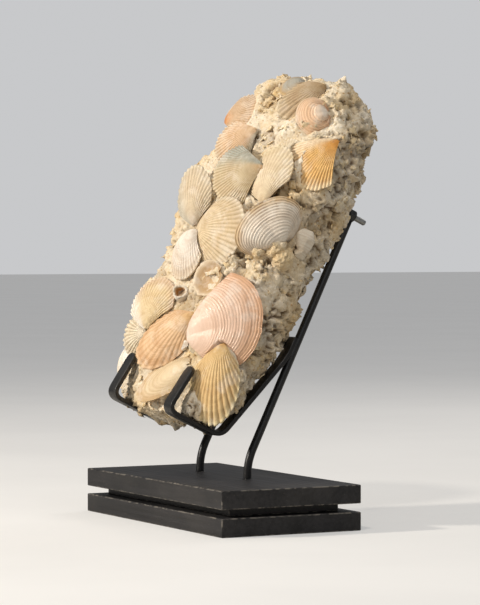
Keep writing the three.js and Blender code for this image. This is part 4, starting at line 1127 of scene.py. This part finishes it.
def makeRod(side):
    bendEnd = fromLeaning([(0, stand["bendEnd"], -rodSize["radius"])])[0][1:]
    top = fromLeaning([(0, stand["studHeight"] - rodSize["topGap"], -rodSize["radius"])])[0][1:]
    foot, bendStart = (stand["footY"], stand["foot"]), (stand["footY"], stand["bendStart"])
    rise = (bendEnd[0] - stand["footY"]) / math.tan(math.radians(leaning["angle"]))
    corner = (stand["footY"], bendEnd[1] - rise)
    path = unique(np.concatenate([
        evenLine(foot, bendStart, 3), curveBetween(bendStart, corner, bendEnd, 24),
        evenLine(bendEnd, top, 6)]))
    angle = np.linspace(0, 2 * np.pi, rodSize["sides"], endpoint=False)
    ring = np.column_stack([np.cos(angle), np.sin(angle)]) * rodSize["radius"]
    points, faces = sweep(path, side["across"], [ring] * len(path))
    makePiece(f"rod_{side['name']}_steel", points, faces, blackSteel,
              {"edge": np.zeros(len(points))}, None, f"rod_{side['name']}")


def barOutline():
    halfWide, halfThick, corner = hookBar["width"] / 2, hookBar["thickness"] / 2, hookBar["corner"]
    outline = []
    for cx, cy, turn in ((1, 1, 0), (-1, 1, 90), (-1, -1, 180), (1, -1, 270)):
        for step in range(6):
            angle = math.radians(turn + step * 18)
            outline.append((cx * (halfWide - corner) + corner * math.cos(angle),
                            cy * (halfThick - corner) + corner * math.sin(angle)))
    return np.array(outline)


def hookPath(bends):
    bends = [np.array(b, float) for b in bends]
    tipWay = (bends[0] - bends[1]) / np.linalg.norm(bends[0] - bends[1])
    reach = hookBar["width"] / 2
    parts = [bends[0] + tipWay * np.sqrt(1 - np.linspace(0, 1, 16) ** 2)[:, None] * reach]
    before = bends[0]
    for i in range(1, len(bends) - 1):
        back, on = bends[i - 1] - bends[i], bends[i + 1] - bends[i]
        into = bends[i] + back / np.linalg.norm(back) * hookBar["bend"]
        out = bends[i] + on / np.linalg.norm(on) * hookBar["bend"]
        parts += [evenLine(before, into, 4), curveBetween(into, bends[i], out, 14)]
        before = out
    parts.append(evenLine(before, bends[-1], 4))
    return unique(np.concatenate(parts)), bends[0], tipWay


def makeHook(side):
    path, tip, tipWay = hookPath(side["hook"] + hookBar["strap"])
    beyond = np.clip((path - tip) @ tipWay, 0, hookBar["width"] / 2)
    beyond[np.arange(len(path)) > 20] = 0
    narrow = np.sqrt(np.clip(1 - (beyond / (hookBar["width"] / 2)) ** 2, 0.004, 1))
    outline = barOutline()
    rings = [outline * (n, 1 - 0.35 * max(0, 1 - n * 3)) for n in narrow]
    world = fromLeaning(np.column_stack([np.zeros(len(path)), path]))[:, 1:]
    points, faces = sweep(world, side["across"], rings)
    edge = np.tile((np.abs(outline[:, 1]) < hookBar["thickness"] / 2 - 0.05).astype(float)
                   * (np.abs(outline[:, 0]) < hookBar["width"] / 2 - 0.05), len(path))
    makePiece(f"hook_{side['name']}_steel", points, faces, blackSteel, {"edge": edge}, None,
              f"hook_{side['name']}")


def makeWelds(side):
    # a bead on each side of the strap, and a ring of filler round the rod's foot
    ball, ballFaces = ballMesh(2)
    random = np.random.default_rng(weldBead["seed"])
    parts = []
    for edge in (-1, 1):
        for up in np.linspace(*weldBead["span"], weldBead["count"]):
            size = np.array(weldBead["size"]) * random.uniform(0.85, 1.15)
            place = np.array([side["across"] + edge * weldBead["aside"], up, weldBead["out"]])
            parts.append((fromLeaning(ball * size + place), ballFaces))
    ring = weldBead["footRing"]
    for turn in np.linspace(0, 2 * np.pi, weldBead["footBeads"], endpoint=False):
        place = np.array([side["across"] + ring * math.cos(turn), stand["footY"] + ring * math.sin(turn),
                          weldBead["footHeight"]])
        parts.append((ball * weldBead["footSize"] + place, ballFaces))
    points, faces = joined(parts)
    makePiece(f"weld_{side['name']}", points, faces, blackSteel,
              {"edge": np.zeros(len(points))})


def ringStack(profile, outlineAt, axisPlace):
    # outlines stacked about the stud's axis at the profile's heights, the last joined to the first
    count = len(outlineAt(0))
    points = np.concatenate([
        np.column_stack([outlineAt(i) + axisPlace, np.full(count, height)])
        for i, height in enumerate(profile)])
    return points, [[v % len(points) for v in face] for face in tubeFaces(len(profile) + 1, count)]


def makeNut(side):
    angle = np.linspace(0, 2 * np.pi, 96, endpoint=False)
    flat = nutSize["acrossFlats"] / 2
    hexagon = flat / np.cos(((angle - np.pi / 6) + np.pi / 6) % (np.pi / 3) - np.pi / 6)
    rounded = np.minimum(hexagon, flat * 1.03)
    bore = np.full_like(angle, nutSize["bore"])
    low, high, cut = nutSize["low"], nutSize["high"], nutSize["chamfer"]
    levels = [(bore, low), (rounded, low), (hexagon, low + cut),
              (hexagon, high - cut), (rounded, high), (bore, high)]
    way = np.column_stack([np.cos(angle), np.sin(angle)])
    points, faces = ringStack([h for _, h in levels], lambda i: way * levels[i][0][:, None],
                              (side["across"], stand["studHeight"]))
    makePiece(f"nut_{side['name']}_steel", fromLeaning(points), faces, blackSteel,
              {"edge": np.zeros(len(points))}, None, f"nut_{side['name']}", smooth=False)


def makeStud(side):
    angle = np.linspace(0, 2 * np.pi, studSize["sides"], endpoint=False)
    height = np.arange(studSize["backEnd"], side["studReach"], studSize["pitch"] / 6)
    turns = (height[:, None] / studSize["pitch"] - angle[None, :] / (2 * np.pi)) % 1
    ends = np.minimum(height - studSize["backEnd"], side["studReach"] - height)
    radius = studSize["radius"] - studSize["depth"] * np.abs(turns * 2 - 1)
    radius = np.minimum(radius, studSize["radius"] - 0.7 + 0.7 * smoothStep(ends, 0, 1.0)[:, None])
    way = np.stack([np.cos(angle), np.sin(angle)], axis=-1)
    rows = radius[..., None] * way[None]
    levels = np.repeat(height[:, None], len(angle), axis=1)
    points = np.column_stack([
        side["across"] + rows[..., 0].ravel(), stand["studHeight"] + rows[..., 1].ravel(), levels.ravel()])
    faces = closedTubeFaces(len(height), len(angle))
    makePiece(f"stud_{side['name']}_steel", fromLeaning(points), faces, plainSteel,
              {"edge": np.zeros(len(points))}, None, f"stud_{side['name']}")


for standSide in standSides:
    makeRod(standSide)
    makeHook(standSide)
    makeWelds(standSide)
    makeNut(standSide)
    makeStud(standSide)
print("rods, hooks, nuts and studs made")

# studio: pale floor, soft lights, camera

studio = {"floor": "c6c3bd", "floorSize": 40.0, "floorGlow": 0.3, "air": (0.93, 0.94, 0.96, 1.0),
          "airStrength": 0.2, "shownStrength": 0.62}
lamps = [
    {"name": "keyLight", "place": (-0.5, -1.9, 1.1), "size": 0.18, "power": 41.0,
     "colour": (1.0, 0.93, 0.84)},
    {"name": "rakeLight", "place": (1.0, -1.1, 2.4), "size": 0.3, "power": 20.0, "colour": (1.0, 0.94, 0.86)},
    {"name": "topLight", "place": (0.9, 0.5, 2.9), "size": 2.6, "power": 9.0, "colour": (1.0, 0.99, 0.97)},
    {"name": "fillLight", "place": (2.2, -0.4, 1.3), "size": 1.4, "power": 5.0, "colour": (0.96, 0.98, 1.0)},
    {"name": "backLight", "place": (-0.9, 1.8, 1.5), "size": 1.2, "power": 10.0, "colour": (1.0, 0.97, 0.94)},
]
cameraSet = {"place": (2.41805, -1.25138, 0.27437), "target": (0.03004, 0.00723, 0.21636), "lens": 163.8}
lampTarget = Vector((0, 0, 0.22))


def makeStudio():
    mesh = bpy.data.meshes.new("paleFloor")
    half = studio["floorSize"] / 2
    corners = [(-half, -half, 0), (half, -half, 0), (half, half, 0), (-half, half, 0)]
    mesh.from_pydata(corners, [], [(0, 1, 2, 3)])
    material, tree, shader = startMaterial("palePaper")
    mottle = ramped(tree, noiseField(tree, 3.0), 0.3, 0.7)
    paper = mixColours(tree, mottle, tint(studio["floor"]), tint("cbc8c2"))
    tree.links.new(paper, shader.inputs["Base Color"])
    shader.inputs["Roughness"].default_value = 0.9
    # the paper looks evenly pale from the camera and still throws little light back at the slab
    seen = addNode(tree, "LightPath").outputs["Is Camera Ray"]
    shader.inputs["Emission Color"].default_value = studio["air"]
    tree.links.new(maths(tree, "MULTIPLY", seen, studio["floorGlow"]), shader.inputs["Emission Strength"])
    mesh.materials.append(material)
    floor = bpy.data.objects.new("paleFloor", mesh)
    bpy.context.scene.collection.objects.link(floor)
    world = bpy.data.worlds.new("studioAir")
    world.use_nodes = True
    air = world.node_tree.nodes["Background"].inputs
    air["Color"].default_value = studio["air"]
    shown = addNode(world.node_tree, "LightPath").outputs["Is Camera Ray"]
    more = studio["shownStrength"] - studio["airStrength"]
    strength = maths(world.node_tree, "MULTIPLY_ADD", shown, more, studio["airStrength"])
    world.node_tree.links.new(strength, air["Strength"])
    bpy.context.scene.world = world
    bpy.context.scene.view_settings.view_transform = "Standard"
    for lamp in lamps:
        light = bpy.data.lights.new(lamp["name"], "AREA")
        light.shape, light.size = "DISK", lamp["size"]
        light.energy, light.color = lamp["power"], lamp["colour"]
        holder = bpy.data.objects.new(lamp["name"], light)
        holder.location = lamp["place"]
        holder.rotation_euler = (lampTarget - Vector(lamp["place"])).to_track_quat("-Z", "Y").to_euler()
        bpy.context.scene.collection.objects.link(holder)
    lens = bpy.data.cameras.new("photoCamera")
    lens.lens, lens.sensor_width = cameraSet["lens"], 36.0
    lens.clip_start, lens.clip_end = 0.05, 60.0
    camera = bpy.data.objects.new("photoCamera", lens)
    camera.location = cameraSet["place"]
    way = Vector(cameraSet["target"]) - Vector(cameraSet["place"])
    camera.rotation_euler = way.to_track_quat("-Z", "Y").to_euler()
    bpy.context.scene.collection.objects.link(camera)
    bpy.context.scene.camera = camera


makeStudio()
print("studio made")
